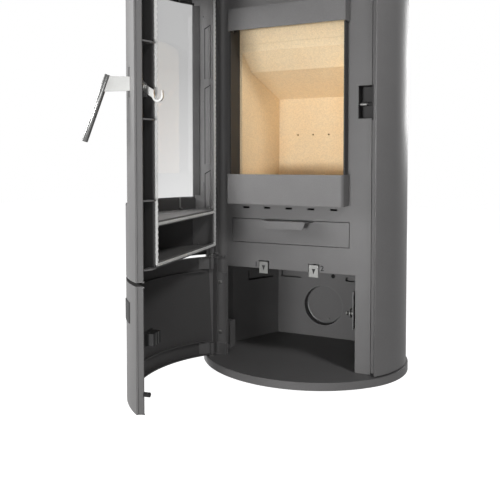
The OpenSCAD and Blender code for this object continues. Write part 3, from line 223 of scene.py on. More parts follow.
def sprayed_paint(name, hex_value, roughness, tooth=0.10, edge_gain=0.6):
    """Satin paint with a sandy tooth, faint clouds and edges lightened as a painted highlight.
    """
    made, tree, shader, place = start(name)
    cloud = add(tree, "TexNoise", {"Vector": place, "Scale": per_metre(CLOUD_MM),
                                   "Detail": 3.0})
    grain = add(tree, "TexNoise", {"Vector": place, "Scale": per_metre(TOOTH_MM),
                                   "Detail": 2.0})
    base = rgb(hex_value)
    darker = (*[c * 0.90 for c in base[:3]], 1)
    lighter = (*[c * 1.10 for c in base[:3]], 1)
    tint = add(tree, "Mix", {"Factor": cloud.outputs["Fac"], 6: darker, 7: lighter},
               data_type="RGBA")
    speck = add(tree, "MapRange", {"Value": grain.outputs["Fac"], "From Min": 0.35,
                                   "From Max": 0.65, "To Min": 0.93, "To Max": 1.07})
    soft = add(tree, "Bevel", {"Radius": EDGE_MM * MM}, samples=4)
    flat = add(tree, "NewGeometry").outputs["Normal"]
    alike = add(tree, "VectorMath", {0: soft.outputs[0], 1: flat}, operation="DOT_PRODUCT")
    # cut edges lighter as a painted highlight
    edge_highlight = add(tree, "MapRange", {"Value": alike.outputs["Value"], "From Min": 0.995,
                                  "From Max": 0.80, "To Min": 1.0, "To Max": 1.0 + edge_gain})
    speck = add(tree, "Math", {0: speck.outputs[0], 1: edge_highlight.outputs[0]}, operation="MULTIPLY")
    colour = add(tree, "VectorMath", {0: tint.outputs[2], "Scale": speck.outputs[0]},
                 operation="SCALE")
    tree.links.new(colour.outputs[0], shader.inputs["Base Color"])
    rough = add(tree, "MapRange", {"Value": cloud.outputs["Fac"],
                                   "To Min": roughness - 0.05, "To Max": roughness + 0.05})
    tree.links.new(rough.outputs["Result"], shader.inputs["Roughness"])
    bump = add(tree, "Bump", {"Height": grain.outputs["Fac"], "Strength": tooth,
                              "Distance": 0.2 * MM, "Normal": soft.outputs[0]})
    tree.links.new(bump.outputs["Normal"], shader.inputs["Normal"])
    shader.inputs["Specular IOR Level"].default_value = 0.35
    return made


# one grey in copies: the front's is lighter as painted light, the inner parts' darker as
# painted shade
shell_paint = sprayed_paint("anthracite stove paint", "#676666", 0.50)
lit_front_paint = sprayed_paint("anthracite stove paint, front", "#6b6a6a", 0.48)
shaded_inner_paint = sprayed_paint("stove paint darkened as painted shade on inner parts", "#636262", 0.55)
# near-black: soot on the firebox, and painted shade inside the fire door and on its frame's
# sides
soot_and_shade_paint = sprayed_paint("near-black stove paint", "#383737", 0.60)
# the log door's hollow side is darkened as painted shade
shaded_door_inside_paint = sprayed_paint("stove paint darkened as painted shade inside the log door", "#4b4a4a", 0.60)
print("paints:", [m.name for m in bpy.data.materials if "stove paint" in m.name])

# %% [markdown]
# ## Pressed vermiculite board
# The fire's lining is vermiculite, a golden mica that is puffed with heat,
# mixed with a binder and pressed into boards. Close up it is a mosaic of
# flakes 1 to 4 mm across, sandy tan with lighter and darker grains. It is
# soft and quite matt. Cells of a Voronoi pattern give each flake its own
# shade. The dust between them is finer than a pixel and is drawn at 1.2 mm.

# %% Vermiculite
FLAKE_MM, DUST_MM, PATCH_MM = 3.0, 1.2, 60


def pressed_board(name, hex_value):
    """Flakes of one size with finer dust between, in patches of warmer tan."""
    made, tree, shader, place = start(name)
    flakes = add(tree, "TexVoronoi", {"Vector": place, "Scale": per_metre(FLAKE_MM)})
    fine = add(tree, "TexNoise", {"Vector": place, "Scale": per_metre(DUST_MM), "Detail": 4.0})
    wide = add(tree, "TexNoise", {"Vector": place, "Scale": per_metre(PATCH_MM),
                                  "Detail": 2.0})
    base = rgb(hex_value)
    shade = add(tree, "SeparateColor", {"Color": flakes.outputs["Color"]}).outputs["Red"]
    grain = add(tree, "MapRange", {"Value": shade, "To Min": 0.92, "To Max": 1.04})
    dust = add(tree, "MapRange", {"Value": fine.outputs["Fac"], "From Min": 0.3,
                                  "From Max": 0.7, "To Min": 0.94, "To Max": 1.05})
    both = add(tree, "Math", {0: grain.outputs[0], 1: dust.outputs[0]}, operation="MULTIPLY")
    warm = (base[0] * 1.02, base[1] * 0.95, base[2] * 0.86, 1)
    tint = add(tree, "Mix", {"Factor": wide.outputs["Fac"], 6: base, 7: warm},
               data_type="RGBA")
    colour = add(tree, "VectorMath", {0: tint.outputs[2], "Scale": both.outputs[0]},
                 operation="SCALE")
    tree.links.new(colour.outputs[0], shader.inputs["Base Color"])
    shader.inputs["Roughness"].default_value = 0.85
    bump = add(tree, "Bump", {"Height": both.outputs[0], "Strength": 0.16,
                              "Distance": 0.4 * MM})
    tree.links.new(bump.outputs["Normal"], shader.inputs["Normal"])
    return made


fire_board = pressed_board("pressed vermiculite board", "#f8e2bd")
print("board:", fire_board.name, "with flakes of", FLAKE_MM, "mm")

# %% [markdown]
# ## Metals
# The handle and its hook are stainless steel, brushed along their length.
# The brushing is a noise that is squeezed across the grain and stretched
# along it, and it changes only the roughness and the bump. Its lines are
# about 0.05 mm wide and are drawn at 0.8 mm, so that they show. Screws, pins
# and levers are mild steel with a zinc plate: greyer, softer, with the
# blotches of its passivating bath. The grate is sand-cast iron, rough and
# black.

# %% Steel and iron
BLOTCH_MM = 14


def plated_metal(name, hex_value, roughness, stretch=(1, 1, 1), grain_mm=1.0, tooth=0.08):
    """Bare metal: a brushing, squeezed or even, over faint duller blotches."""
    made, tree, shader, place = start(name)
    squeezed = add(tree, "VectorMath", {0: place, 1: stretch}, operation="MULTIPLY")
    brush = add(tree, "TexNoise", {"Vector": squeezed.outputs[0],
                                   "Scale": per_metre(grain_mm), "Detail": 3.0})
    blotch = add(tree, "TexNoise", {"Vector": place, "Scale": per_metre(BLOTCH_MM),
                                    "Detail": 2.0})
    base = rgb(hex_value)
    dull = (*[c * 0.86 for c in base[:3]], 1)
    tint = add(tree, "Mix", {"Factor": blotch.outputs["Fac"], 6: dull, 7: base},
               data_type="RGBA")
    tree.links.new(tint.outputs[2], shader.inputs["Base Color"])
    shader.inputs["Metallic"].default_value = 1.0
    rough = add(tree, "MapRange", {"Value": brush.outputs["Fac"], "From Min": 0.3,
                                   "From Max": 0.7, "To Min": roughness - 0.06,
                                   "To Max": roughness + 0.08})
    tree.links.new(rough.outputs["Result"], shader.inputs["Roughness"])
    bump = add(tree, "Bump", {"Height": brush.outputs["Fac"], "Strength": tooth,
                              "Distance": 0.1 * MM})
    tree.links.new(bump.outputs["Normal"], shader.inputs["Normal"])
    return made


stainless = plated_metal("brushed stainless steel", "#838382", 0.22, (1, 1, 0.06), 0.8)
cut_stainless = plated_metal("laser-cut stainless steel", "#cbcbc9", 0.36)
zinc = plated_metal("zinc-plated steel", "#848482", 0.48)
galvanised = plated_metal("galvanised sheet", "#8f9090", 0.42, grain_mm=5.0)
cast_iron = plated_metal("cast iron", "#4a4a4a", 0.66, grain_mm=1.8, tooth=0.5)
print("metals:", [m.name for m in (stainless, cut_stainless, zinc, galvanised, cast_iron)])

# %% [markdown]
# ## Glass, rope, rubber and plastic
# The pane is a clear glass-ceramic, 4 mm thick. It is given a grey tint
# that is darker towards the top. Glass bends light, and Cycles would give
# it a dark shadow, so light on its way through to the stove meets a plain
# see-through shader. The rope is glass fibre: nearly white and dull, mottled
# by its fibres and a little dirt. The buffer is rubber, and the pull and the
# magnet's case are moulded plastic with a fine spark-eroded grain. Fibres and
# grain are really a tenth of a millimetre and are drawn at about 1 mm.

# %% Glass
GREY_LOW_M, GREY_HIGH_M = 0.47, 0.80
pane, tree, shader, place = start("ceramic glass")
smear = add(tree, "TexNoise", {"Vector": place, "Scale": per_metre(120), "Detail": 2.0})
haze = add(tree, "MapRange", {"Value": smear.outputs["Fac"], "To Min": 0.0, "To Max": 0.05})
height = add(tree, "SeparateXYZ", {"Vector": place}).outputs["Z"]
# the pane's grey gets darker towards its top
greying = add(tree, "MapRange", {"Value": height, "From Min": GREY_LOW_M,
                              "From Max": GREY_HIGH_M})
film = add(tree, "Mix", {"Factor": greying.outputs["Result"], 6: rgb("#e8e8e8"),
                         7: rgb("#c1c1c1")}, data_type="RGBA")
tree.links.new(film.outputs[2], shader.inputs["Base Color"])
shader.inputs["Transmission Weight"].default_value = 1.0
shader.inputs["IOR"].default_value = 1.53
tree.links.new(haze.outputs["Result"], shader.inputs["Roughness"])
shaded = add(tree, "LightPath").outputs["Is Shadow Ray"]
clear = add(tree, "BsdfTransparent", {"Color": rgb("#dcdcdc")})
through = add(tree, "MixShader", {0: shaded, 1: shader.outputs[0], 2: clear.outputs[0]})
tree.links.new(through.outputs[0], tree.nodes["Material Output"].inputs["Surface"])
print("glass:", pane.name, "tinted between", GREY_LOW_M, "and", GREY_HIGH_M, "m")

# %% Rope, plastic and rubber
rope_fibre, tree, shader, place = start("braided glass-fibre rope")
fibre = add(tree, "TexNoise", {"Vector": place, "Scale": per_metre(0.9), "Detail": 3.0})
dirt = add(tree, "TexNoise", {"Vector": place, "Scale": per_metre(30), "Detail": 2.0})
pale = add(tree, "Mix", {"Factor": dirt.outputs["Fac"], 6: rgb("#cfcfce"),
                         7: rgb("#e6e6e4")}, data_type="RGBA")
thread = add(tree, "MapRange", {"Value": fibre.outputs["Fac"], "From Min": 0.3,
                                "From Max": 0.7, "To Min": 0.80, "To Max": 1.08})
colour = add(tree, "VectorMath", {0: pale.outputs[2], "Scale": thread.outputs["Result"]},
             operation="SCALE")
tree.links.new(colour.outputs[0], shader.inputs["Base Color"])
shader.inputs["Roughness"].default_value = 0.9


def moulded(name, hex_value, roughness, grain_mm):
    """Plastic or rubber with the fine grain of its mould."""
    made, tree, shader, place = start(name)
    grain = add(tree, "TexNoise", {"Vector": place, "Scale": per_metre(grain_mm),
                                   "Detail": 2.0})
    dark = rgb(hex_value)
    light = (*[c * 1.35 for c in dark[:3]], 1)
    tint = add(tree, "Mix", {"Factor": grain.outputs["Fac"], 6: dark, 7: light},
               data_type="RGBA")
    tree.links.new(tint.outputs[2], shader.inputs["Base Color"])
    shader.inputs["Roughness"].default_value = roughness
    bump = add(tree, "Bump", {"Height": grain.outputs["Fac"], "Strength": 0.2,
                              "Distance": 0.1 * MM})
    tree.links.new(bump.outputs["Normal"], shader.inputs["Normal"])
    return made


black_plastic = moulded("moulded black plastic", "#121212", 0.62, 1.0)
black_rubber = moulded("black rubber", "#101010", 0.80, 1.5)
# black for printed marks, and as painted shade for the slits of the frame
print_and_shade_ink = moulded("black print and painted shade", "#0c0c0c", 0.70, 1.0)
print("dull finishes:", [m.name for m in (rope_fibre, black_plastic, black_rubber, print_and_shade_ink)])

# %% [markdown]
# ## Dressing the solids
# Each solid keeps its mesh and only changes its finish. The stove wears one
# grey paint; the groups are the outside, the front in a lighter copy as
# painted light, the inner parts in a darker copy as painted shade, the
# firebox and other dark inner parts in near-black, which is soot and also
# painted shade, and the bare metals.

# %% Finishes by solid
finishes = {
    shell_paint: ["side_shell_left", "side_shell_right", "back_panel", "base_plate",
                  "top_plate", "flue_collar", "air_inlet_collar", "door_skin",
                  "log_door_skin"],
    lit_front_paint: ["front_plate", "log_guard", "air_deflector", "ash_drawer_front",
                  "jamb_strip", "side_bracket", "door_stiffeners", "door_frame",
                  "frame_plates"],
    shaded_inner_paint: ["compartment_liner", "air_inlet_cover", "compartment_ceiling",
                  "hinge_lugs", "door_knuckles", "log_door_knuckles", "spindle_bracket"],
    soot_and_shade_paint: ["firebox_body", "opening_collar", "ash_box", "catch_box",
                 "glass_strips", "glass_ledge", "lever_guides", "ash_runners"],
    fire_board: ["lining_left", "lining_right", "lining_back", "lining_floor",
                 "baffle_lower", "baffle_upper", "throat_board"],
    stainless: ["handle_grip"],
    cut_stainless: ["handle_arm", "latch_hook"],
    zinc: ["levelling_feet", "hinge_pins", "handle_spindle", "jamb_screws", "side_bolt",
           "air_inlet_screw", "catch_roller", "secondary_air_lever", "primary_air_lever"],
    galvanised: ["ash_pan"],
    cast_iron: ["fire_grate"],
    pane: ["door_glass"],
    rope_fibre: ["sealing_rope", "cross_rope"],
    black_plastic: ["magnet_catch", "log_door_pull"],
    black_rubber: ["door_buffer"],
}
for finish, names in finishes.items():
    for name in names:
        nodes[name].data.materials.clear()
        nodes[name].data.materials.append(finish)
bare = sorted(set(nodes) - {n for names in finishes.values() for n in names})
print("solids without a finish:", bare)

# %% [markdown]
# ## The inside of the doors
# The hollow side of the door sheets is out of the lamps' reach, so it is
# given a darker paint as painted shade, near-black in the fire door and
# also on the outer sides of its frame. A second finish on the same solid
# shows this.
# The faces are picked by where they lie and how they face once the doors are
# turned shut: the sheets are arcs, so their inside is what lies nearer to the
# arc's middle than the sheet's inner surface, between the folded edges.

# %% Darker coats as painted shade
pins_low, pins_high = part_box("hinge_pins")
HINGE_X, HINGE_Y = ((pins_low + pins_high) / 2 / MM)[:2]
OPEN_ANGLE = math.radians(-81.8)
door_turn = (Matrix.Translation((HINGE_X, HINGE_Y, 0)) @ Matrix.Rotation(OPEN_ANGLE, 4, "Z")
             @ Matrix.Translation((-HINGE_X, -HINGE_Y, 0)))
shut = door_turn.inverted()
ON_DOOR = {"fire_door", "door_handle", "log_door"}
ARC_MIDDLE_Y, SKIN_IN, FOLD_X, FRAME_SIDE = 172.0, 302.0, 220.0, 183.0
SLACK, SIDEWAYS = 0.5, 0.9


def recoat(name, coat, chosen):
    """Give a second finish to the faces whose place and direction are chosen."""
    mesh = nodes[name].data
    mesh.materials.append(coat)
    picked = [face for face in mesh.polygons
              if chosen(shut @ (face.center / MM), shut.to_3x3() @ face.normal)]
    for face in picked:
        face.material_index = 1
    print(f"{name}: {len(picked)} of {len(mesh.polygons)} faces have a darker coat")


def inside_arc(spot, facing):
    """Whether a face is on the hollow side of a curved door sheet."""
    from_middle = math.hypot(spot.x, spot.y - ARC_MIDDLE_Y)
    return from_middle < SKIN_IN + SLACK and abs(spot.x) < FOLD_X


def frame_side(spot, facing):
    """Whether a face is on one of the frame's two outer sides."""
    return abs(facing.x) > SIDEWAYS and abs(spot.x) > FRAME_SIDE


# the darker faces are painted shade where the lamps don't reach
recoat("door_skin", soot_and_shade_paint, inside_arc)
recoat("log_door_skin", shaded_door_inside_paint, inside_arc)
recoat("door_frame", soot_and_shade_paint, frame_side)

# %% [markdown]
# ## Smooth curves and crisp folds
# The solids come in as triangles. Where two faces meet at less than 30
# degrees they belong to one curve and are shaded smooth; the folds and cut
# edges stay sharp.

# %% Shading
FOLD = math.radians(30)
for thing in nodes.values():
    thing.data.polygons.foreach_set("use_smooth", [True] * len(thing.data.polygons))
    thing.data.set_sharp_from_angle(angle=FOLD)
print("solids shaded:", len(nodes))

# %% [markdown]
# ## Helpers for fine pieces
# The small pieces are meshes made point by point, in millimetres, and turned
# to metres once at the end. Three helpers give all their shapes, and each
# returns its points and faces. One spins a profile of radii and heights round
# an axis, and can make any ring six-sided, which gives hexagons and sockets.
# One sweeps a round section along a path. One gives a flat outline a
# thickness. A fourth rounds the corners of a path. Each cell tries its helper
# on a plain shape first.

# %% Spin a profile
def spun(rings, at, along, sides=24):
    """Spin (radius, height[, "hex"]) rings round an axis; radius 0 closes an end."""
    along = Vector(along).normalized()
    side = along.orthogonal().normalized()
    other = along.cross(side)
    points, faces, last = [], [], []
    for radius, height, *kind in rings:
        middle = Vector(at) + along * height
        if radius == 0:
            ring = [len(points)]
            points.append(middle)
        else:
            ring = list(range(len(points), len(points) + sides))
            for i in range(sides):
                a = 2 * math.pi * i / sides
                r = radius
                if kind:
                    from_flat = a % (math.pi / 3) - math.pi / 6
                    r = radius * math.cos(math.pi / 6) / math.cos(from_flat)
                points.append(middle + (side * math.cos(a) + other * math.sin(a)) * r)
        if last:
            for i in range(sides):
                j = (i + 1) % sides
                quad = [last[i % len(last)], last[j % len(last)], ring[j % len(ring)],
                        ring[i % len(ring)]]
                faces.append(list(dict.fromkeys(quad)))
        last = ring
    return points, faces


print("faces of a cone:", len(spun([(0, 0), (5, 0), (0, 9)], (0, 0, 0), (0, 0, 1))[1]))

# %% Sweep a round bar
def swept(path, radius, across=(0, 1, 0), sides=6, closed=False):
    """A round bar along a path of points; radius may be a list, one per point."""
    count = len(path)
    path = [Vector(p) for p in path]
    across = Vector(across)
    points, faces = [], []
    for i, p in enumerate(path):
        ahead = path[(i + 1) % count] if closed or i < count - 1 else p
        behind = path[i - 1] if closed or i > 0 else p
        along = (ahead - behind).normalized()
        side = across.cross(along).normalized()
        up = along.cross(side)
        r = radius[i] if isinstance(radius, list) else radius
        for k in range(sides):
            a = 2 * math.pi * k / sides
            points.append(p + (side * math.cos(a) + up * math.sin(a)) * r)
    for i in range(count if closed else count - 1):
        j = (i + 1) % count
        for k in range(sides):
            m = (k + 1) % sides
            faces.append([i * sides + k, i * sides + m, j * sides + m, j * sides + k])
    if not closed:
        faces.append(list(range(sides))[::-1])
        faces.append([(count - 1) * sides + k for k in range(sides)])
    return points, faces


print("faces of a straight bar:", len(swept([(0, 0, 0), (0, 0, 9)], 2)[1]))

# %% Thicken an outline
def slab(outline, low, high, axis="y"):
    """A flat outline of (x, z) points given a thickness along y, or (y, z) along x."""
    n = len(outline)
    points = [Vector((h, a, b) if axis == "x" else (a, h, b))
              for h in (low, high) for a, b in outline]
    faces = [[i, (i + 1) % n, n + (i + 1) % n, n + i] for i in range(n)]
    return points, faces + [list(range(n))[::-1], list(range(n, 2 * n))]


def rounded(middle, radius, begin, steps):
    """Points of a quarter turn round a middle, from an angle in degrees."""
    turns = [math.radians(begin + 90 * step / steps) for step in range(steps + 1)]
    return [(middle[0] + radius * math.cos(a), middle[1] + radius * math.sin(a))
            for a in turns]


print("faces of a square slab:", len(slab([(0, 0), (9, 0), (9, 9), (0, 9)], 0, 1)[1]))

# %% [markdown]
# ## From shapes to pieces
# One helper joins shapes into an object with a finish in its material slot
# and a body to ride on. Pieces of a door are placed as if it were shut,
# where sizes are plain to read, and then swung open with door_turn. The way
# that faces point is worked out afresh, so a shape may be made with its faces
# either way round. A second helper measures a solid, so that a piece can be
# placed against it.

# %% Make a piece
CREASE = math.radians(38)


def piece(name, parts, finish, body, replaces=(), smooth=True):
    """Join parts given in mm into one object, and say what carries it."""
    points, faces = [], []
    for part_points, part_faces in parts:
        start_at = len(points)
        points += part_points
        faces += [[i + start_at for i in face] for face in part_faces]
    mesh = bpy.data.meshes.new(name)
    mesh.from_pydata([tuple(p) for p in points], [], faces)
    mesh.transform(Matrix.Scale(MM, 4) @ (door_turn if body in ON_DOOR else Matrix()))
    shell = bmesh.new()
    shell.from_mesh(mesh)
    bmesh.ops.recalc_face_normals(shell, faces=shell.faces)
    shell.to_mesh(mesh)
    shell.free()
    mesh.polygons.foreach_set("use_smooth", [smooth] * len(mesh.polygons))
    mesh.set_sharp_from_angle(angle=CREASE)
    mesh.materials.append(finish)
    made = bpy.data.objects.new(name, mesh)
    bpy.context.scene.collection.objects.link(made)
    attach(made, body)
    if replaces:
        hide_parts(*replaces)
    print(f"{name}: {len(mesh.polygons)} faces")


def edges(node):
    """A node's lowest and highest corners, in mm."""
    low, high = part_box(node)
    return low / MM, high / MM


print("top plate, in mm:", *edges("top_plate"))

# %% [markdown]
# ## The braided rope
# The door seals on a rope of braided glass fibre that is glued into a channel
# of the frame: one long loop round the window and the ash drawer, and a
# shorter length across. A smooth tube would look like plastic, so the braid
# is built as it is plaited: three strands wind one way and three the other, and
# each passes over and under those that it meets. Each strand's distance from
# the middle swings out and in once for every strand it crosses. A strand is
# 3 mm thick and makes one turn in 36 mm. The loop's two ends meet in
# the bottom run with a small gap, as they do in the photo.

# %% The rope's route
ROPE_HALF_WIDTH, ROPE_DEPTH, ROPE_R = 177.505, -4.8, 4.0
ROPE_LOW, ROPE_CROSS, ROPE_HIGH = 332.5, 420.5, 1000.0
CORNER_R, JOINT_X, JOINT_GAP = 4.5, -18.0, 2.5


def loop_route():
    """Points of the loop as (x, z), from its joint round and back to it."""
    w, low, high, r = ROPE_HALF_WIDTH, ROPE_LOW, ROPE_HIGH, CORNER_R
    route = [(JOINT_X + JOINT_GAP / 2, low)]
    for middle, begin in (((w - r, low + r), -90), ((w - r, high - r), 0),
                          ((-w + r, high - r), 90), ((-w + r, low + r), 180)):
        route += rounded(middle, r, begin, steps=6)
    return route + [(JOINT_X - JOINT_GAP / 2, low)]


def walked(route, step):
    """The same route as evenly spaced points with their directions."""
    made = []
    for (x0, z0), (x1, z1) in zip(route, route[1:]):
        length = math.hypot(x1 - x0, z1 - z0)
        count = max(1, round(length / step))
        along = Vector((x1 - x0, 0, z1 - z0)) / length
        for i in range(count):
            x, z = x0 + (x1 - x0) * i / count, z0 + (z1 - z0) * i / count
            made.append((Vector((x, ROPE_DEPTH, z)), along))
    made.append((Vector((route[-1][0], ROPE_DEPTH, route[-1][1])), along))
    return made


print("rope loop:", len(loop_route()), "points")

# %% Braid
STRANDS, TURN_MM, STRAND_R = 3, 36.0, 1.5
CROWN, WEAVE, CORE_R, STEP_MM = 2.0, 0.45, 1.0, 1.5
SKEWED = (0.13, 0.91, 0.17)     # no strand runs this way, so its section never flips


def braid(route):
    """Strands that wind both ways along a route, over and under, round a core."""
    stations = walked(route, STEP_MM)
    gone = [0.0]
    for (a, _), (b, _) in zip(stations, stations[1:]):
        gone.append(gone[-1] + (b - a).length)
    front = Vector((0, 1, 0))
    parts = []
    for way in (1, -1):
        for strand in range(STRANDS):
            path = []
            for (middle, along), s in zip(stations, gone):
                turned = 2 * math.pi * s / TURN_MM
                angle = 2 * math.pi * strand / STRANDS + way * turned
                out = CROWN + way * WEAVE * math.cos(STRANDS * turned)
                side = front.cross(along)
                path.append(middle + (side * math.cos(angle) + front * math.sin(angle)) * out)
            parts.append(swept(path, STRAND_R, across=SKEWED, sides=5))
    core = swept([p for p, _ in stations], CORE_R, sides=6)
    return parts + [core]


piece("rope_loop", braid(loop_route()), rope_fibre, "fire_door",
      replaces=["sealing_rope"])
CROSS_GAP = 0.6
CROSS_END = ROPE_HALF_WIDTH - ROPE_R - CROSS_GAP
piece("rope_across", braid([(-CROSS_END, ROPE_CROSS), (CROSS_END, ROPE_CROSS)]), rope_fibre,
      "fire_door", replaces=["cross_rope"])

# %% [markdown]
# ## Shapes of screws, rivets and nuts
# Sheet steel stoves are held together by button-head screws with a hexagon
# socket. A head is a low dome whose socket is a six-sided hole, so it is spun
# from one profile: up the dome, in to the socket's edge, and down inside it.
# Rivets are plain low domes. A hexagon nut has its corners turned off, which
# a spun profile gives as well: round at its ends and six-sided between. The
# profiles are in shares of a radius and a height, so one fits every size.

# %% Fastener shapes
def button_head(at, along, r, h):
    """A domed screw head with a hexagon socket."""
    return spun([(0, 0), (0.95 * r, 0), (r, 0.22 * h), (0.93 * r, 0.58 * h),
                 (0.75 * r, 0.86 * h), (0.56 * r, h), (0.50 * r, 0.98 * h, "hex"),
                 (0.47 * r, 0.30 * h, "hex"), (0, 0.22 * h)], at, along)


def rivet(at, along, r, h):
    """A plain low dome."""
    return spun([(0, 0), (r, 0), (0.97 * r, 0.3 * h), (0.78 * r, 0.68 * h),
                 (0.45 * r, 0.93 * h), (0, h)], at, along, sides=16)


def hexagon(at, along, r, h):
    """A hexagon nut or head with its outer corners turned off."""
    return spun([(0, 0), (0.88 * r, 0), (r, 0.14 * h, "hex"), (r, 0.84 * h, "hex"),
                 (0.88 * r, h), (0, h)], at, along)


def washer(at, along, inner, outer, thick, edge):
    """A flat ring whose outer corners are turned off by edge, and 0.3 mm deep."""
    deep = 0.3
    return spun([(inner, 0), (outer - edge, 0), (outer, deep), (outer, thick - deep),
                 (outer - edge, thick), (inner, thick), (inner, 0)], at, along, sides=32)


print("faces of a screw head:", len(button_head((0, 0, 0), (0, 0, 1), 5, 2)[1]))

# %% [markdown]
# ## Screws
# The strip beside the log compartment has two screws, the hinge lugs one each
# and the inlet's cover one. The back panel is held by a row along each side,
# where it laps over the shells. Each screw is placed from the solid that it
# holds, so it stays on it.

# %% Screws of the front
SHEET_FACE_Y = -3.0     # the face of a 3 mm sheet that lies on the front plate
head_low, head_high = edges("jamb_screws")
HEAD_R, HEAD_H = 5.4, 2.1
screw_x = (head_low.x + head_high.x) / 2
piece("strip_screws", [button_head((screw_x, SHEET_FACE_Y, z), (0, -1, 0), HEAD_R, HEAD_H)
                       for z in (head_low.z + HEAD_R, head_high.z - HEAD_R)],
      zinc, "stove_body", replaces=["jamb_screws"])

# %% Screws of the back
panel_low, panel_high = edges("back_panel")
BACK_HEAD_R, BACK_HEAD_H, BACK_ROWS = 4.5, 1.8, 7
FROM_END, FROM_SIDE = 40, 6
shell_back_y = edges("side_shell_right")[1].y
row_step = (panel_high.z - panel_low.z - 2 * FROM_END) / (BACK_ROWS - 1)
back_screws = [button_head((x, shell_back_y, panel_low.z + FROM_END + row_step * row),
                           (0, 1, 0), BACK_HEAD_R, BACK_HEAD_H)
               for row in range(BACK_ROWS)
               for x in (panel_low.x + FROM_SIDE, panel_high.x - FROM_SIDE)]
piece("back_screws", back_screws, zinc, "stove_body")

# %% Screws of the lugs and the inlet
lug_low, lug_high = edges("hinge_lugs")
LUG_SCREW_R, LUG_SCREW_H = 2.5, 1.4
LUG_SCREW_IN, LUG_SCREW_UP, LUG_SCREW_DOWN = 7, 3, 8
piece("lug_screws", [button_head((lug_high.x - LUG_SCREW_IN, SHEET_FACE_Y, z), (0, -1, 0),
                                 LUG_SCREW_R, LUG_SCREW_H)
                     for z in (lug_low.z + LUG_SCREW_UP, lug_high.z - LUG_SCREW_DOWN)],
      zinc, "stove_body")

inlet_low, inlet_high = edges("air_inlet_screw")
inlet_at = (inlet_low + inlet_high) / 2
INLET_HEAD_R, INLET_HEAD_H, SCREW_HEAD_LOW = 4.0, 2.4, 2.5
piece("inlet_screw", [button_head((inlet_at.x, inlet_low.y + SCREW_HEAD_LOW, inlet_at.z),
                                  (0, -1, 0), INLET_HEAD_R, INLET_HEAD_H)],
      zinc, "stove_body", replaces=["air_inlet_screw"])

# %% [markdown]
# ## The compartment's bolt and the foot nuts
# A bolt comes in through the side of the log compartment, with a wide washer
# and a nut. Its thread is a spun zigzag of rings and not a helix: at this
# size the eye can't tell, and the shape is far simpler. Each levelling foot
# has a lock nut.

# %% Bolt and nuts
BOLT_HEX_R, BOLT_HEAD_H, NUT_AT, NUT_H = 6.3, 4.0, 14.0, 5.9
THREAD_R, ROOT_R, PITCH, TURNS = 3.5, 3.1, 0.8, 17
WASHER_AT, WASHER_IN, WASHER_OUT, WASHER_T, WASHER_EDGE = 12.0, 3.6, 12.0, 2.0, 0.4
thread = [(0, BOLT_HEAD_H)]
for i in range(TURNS):
    thread += [(ROOT_R, BOLT_HEAD_H + PITCH * i), (THREAD_R, BOLT_HEAD_H + PITCH * (i + 0.5))]
thread.append((0, BOLT_HEAD_H + PITCH * TURNS))
bolt_low, bolt_high = edges("side_bolt")
bolt_at = (bolt_low + bolt_high) / 2
bolt_at.x = bolt_low.x
INWARD = Vector((1, 0, 0))
piece("compartment_bolt",
      [hexagon(bolt_at, INWARD, BOLT_HEX_R, BOLT_HEAD_H),
       spun(thread, bolt_at, INWARD, sides=16),
       washer(bolt_at + INWARD * WASHER_AT, INWARD, WASHER_IN, WASHER_OUT, WASHER_T,
              WASHER_EDGE),
       hexagon(bolt_at + INWARD * NUT_AT, INWARD, BOLT_HEX_R, NUT_H)],
      zinc, "stove_body", replaces=["side_bolt"])

foot_low, foot_high = edges("levelling_feet")
FOOT_PAD_R, FOOT_NUT_Z, FOOT_NUT_R, FOOT_NUT_H = 14, 7.0, 9.2, 5.0
piece("foot_nuts", [hexagon((x, y, FOOT_NUT_Z), (0, 0, 1), FOOT_NUT_R, FOOT_NUT_H)
                    for x in (foot_low.x + FOOT_PAD_R, foot_high.x - FOOT_PAD_R)
                    for y in (foot_low.y + FOOT_PAD_R, foot_high.y - FOOT_PAD_R)],
      zinc, "stove_body")

# %% [markdown]
# ## Rivets and slits of the door's frame
# Domed rivets hold the embossed plates of the frame, on both of its walls,
# and each plate is partly cut free, so a fine dark slit runs down its edge
# and over its top. The slit's shade is painted as a thin black film: a real
# cut in the plate would need its solid changed for a line 2 mm wide.

# %% Rivets
WALL_X = 181.505
RIVET_R, RIVET_H = 3.2, 1.4
rivet_spots = ((-38.8, 715.1), (-39.5, 498.5), (-60.6, 644.8), (-54.0, 333.0),
               (-38.8, 940.0))
piece("frame_rivets", [rivet((s * WALL_X, y, z), (-s, 0, 0), RIVET_R, RIVET_H)
                       for s in (1, -1) for y, z in rivet_spots],
      lit_front_paint, "fire_door")

# %% Slits
PLATE_STANDS, SLIT_W, SLIT_TOP_W, SLIT_CUT, SLIT_T = 1.5, 2.2, 2.5, 1, 0.15
PLATE_BACK_Y, PLATE_FRONT_Y, PLATE_SLANT = -34.0, -17.0, 6.0
PLATE_HEIGHTS = ((432, 527), (548, 754), (775, 912))
slits = []
for s in (1, -1):
    face_x = s * (WALL_X - PLATE_STANDS)
    inner = face_x - s * SLIT_T
    low_x, high_x = sorted((face_x, inner))
    for z0, z1 in PLATE_HEIGHTS:
        top = z1 - PLATE_SLANT / 2
        slits.append(slab([(PLATE_BACK_Y, z0), (PLATE_BACK_Y + SLIT_W, z0),
                           (PLATE_BACK_Y + SLIT_W, top - SLIT_CUT), (PLATE_BACK_Y, top)],
                          low_x, high_x, axis="x"))
        slits.append(slab([(PLATE_BACK_Y, top), (PLATE_BACK_Y + SLIT_W, top - SLIT_TOP_W),
                           (PLATE_FRONT_Y, z1 + PLATE_SLANT - SLIT_TOP_W),
                           (PLATE_FRONT_Y, z1 + PLATE_SLANT)], low_x, high_x, axis="x"))
# the slits' shade is a painted black film
piece("frame_slits", slits, print_and_shade_ink, "fire_door")

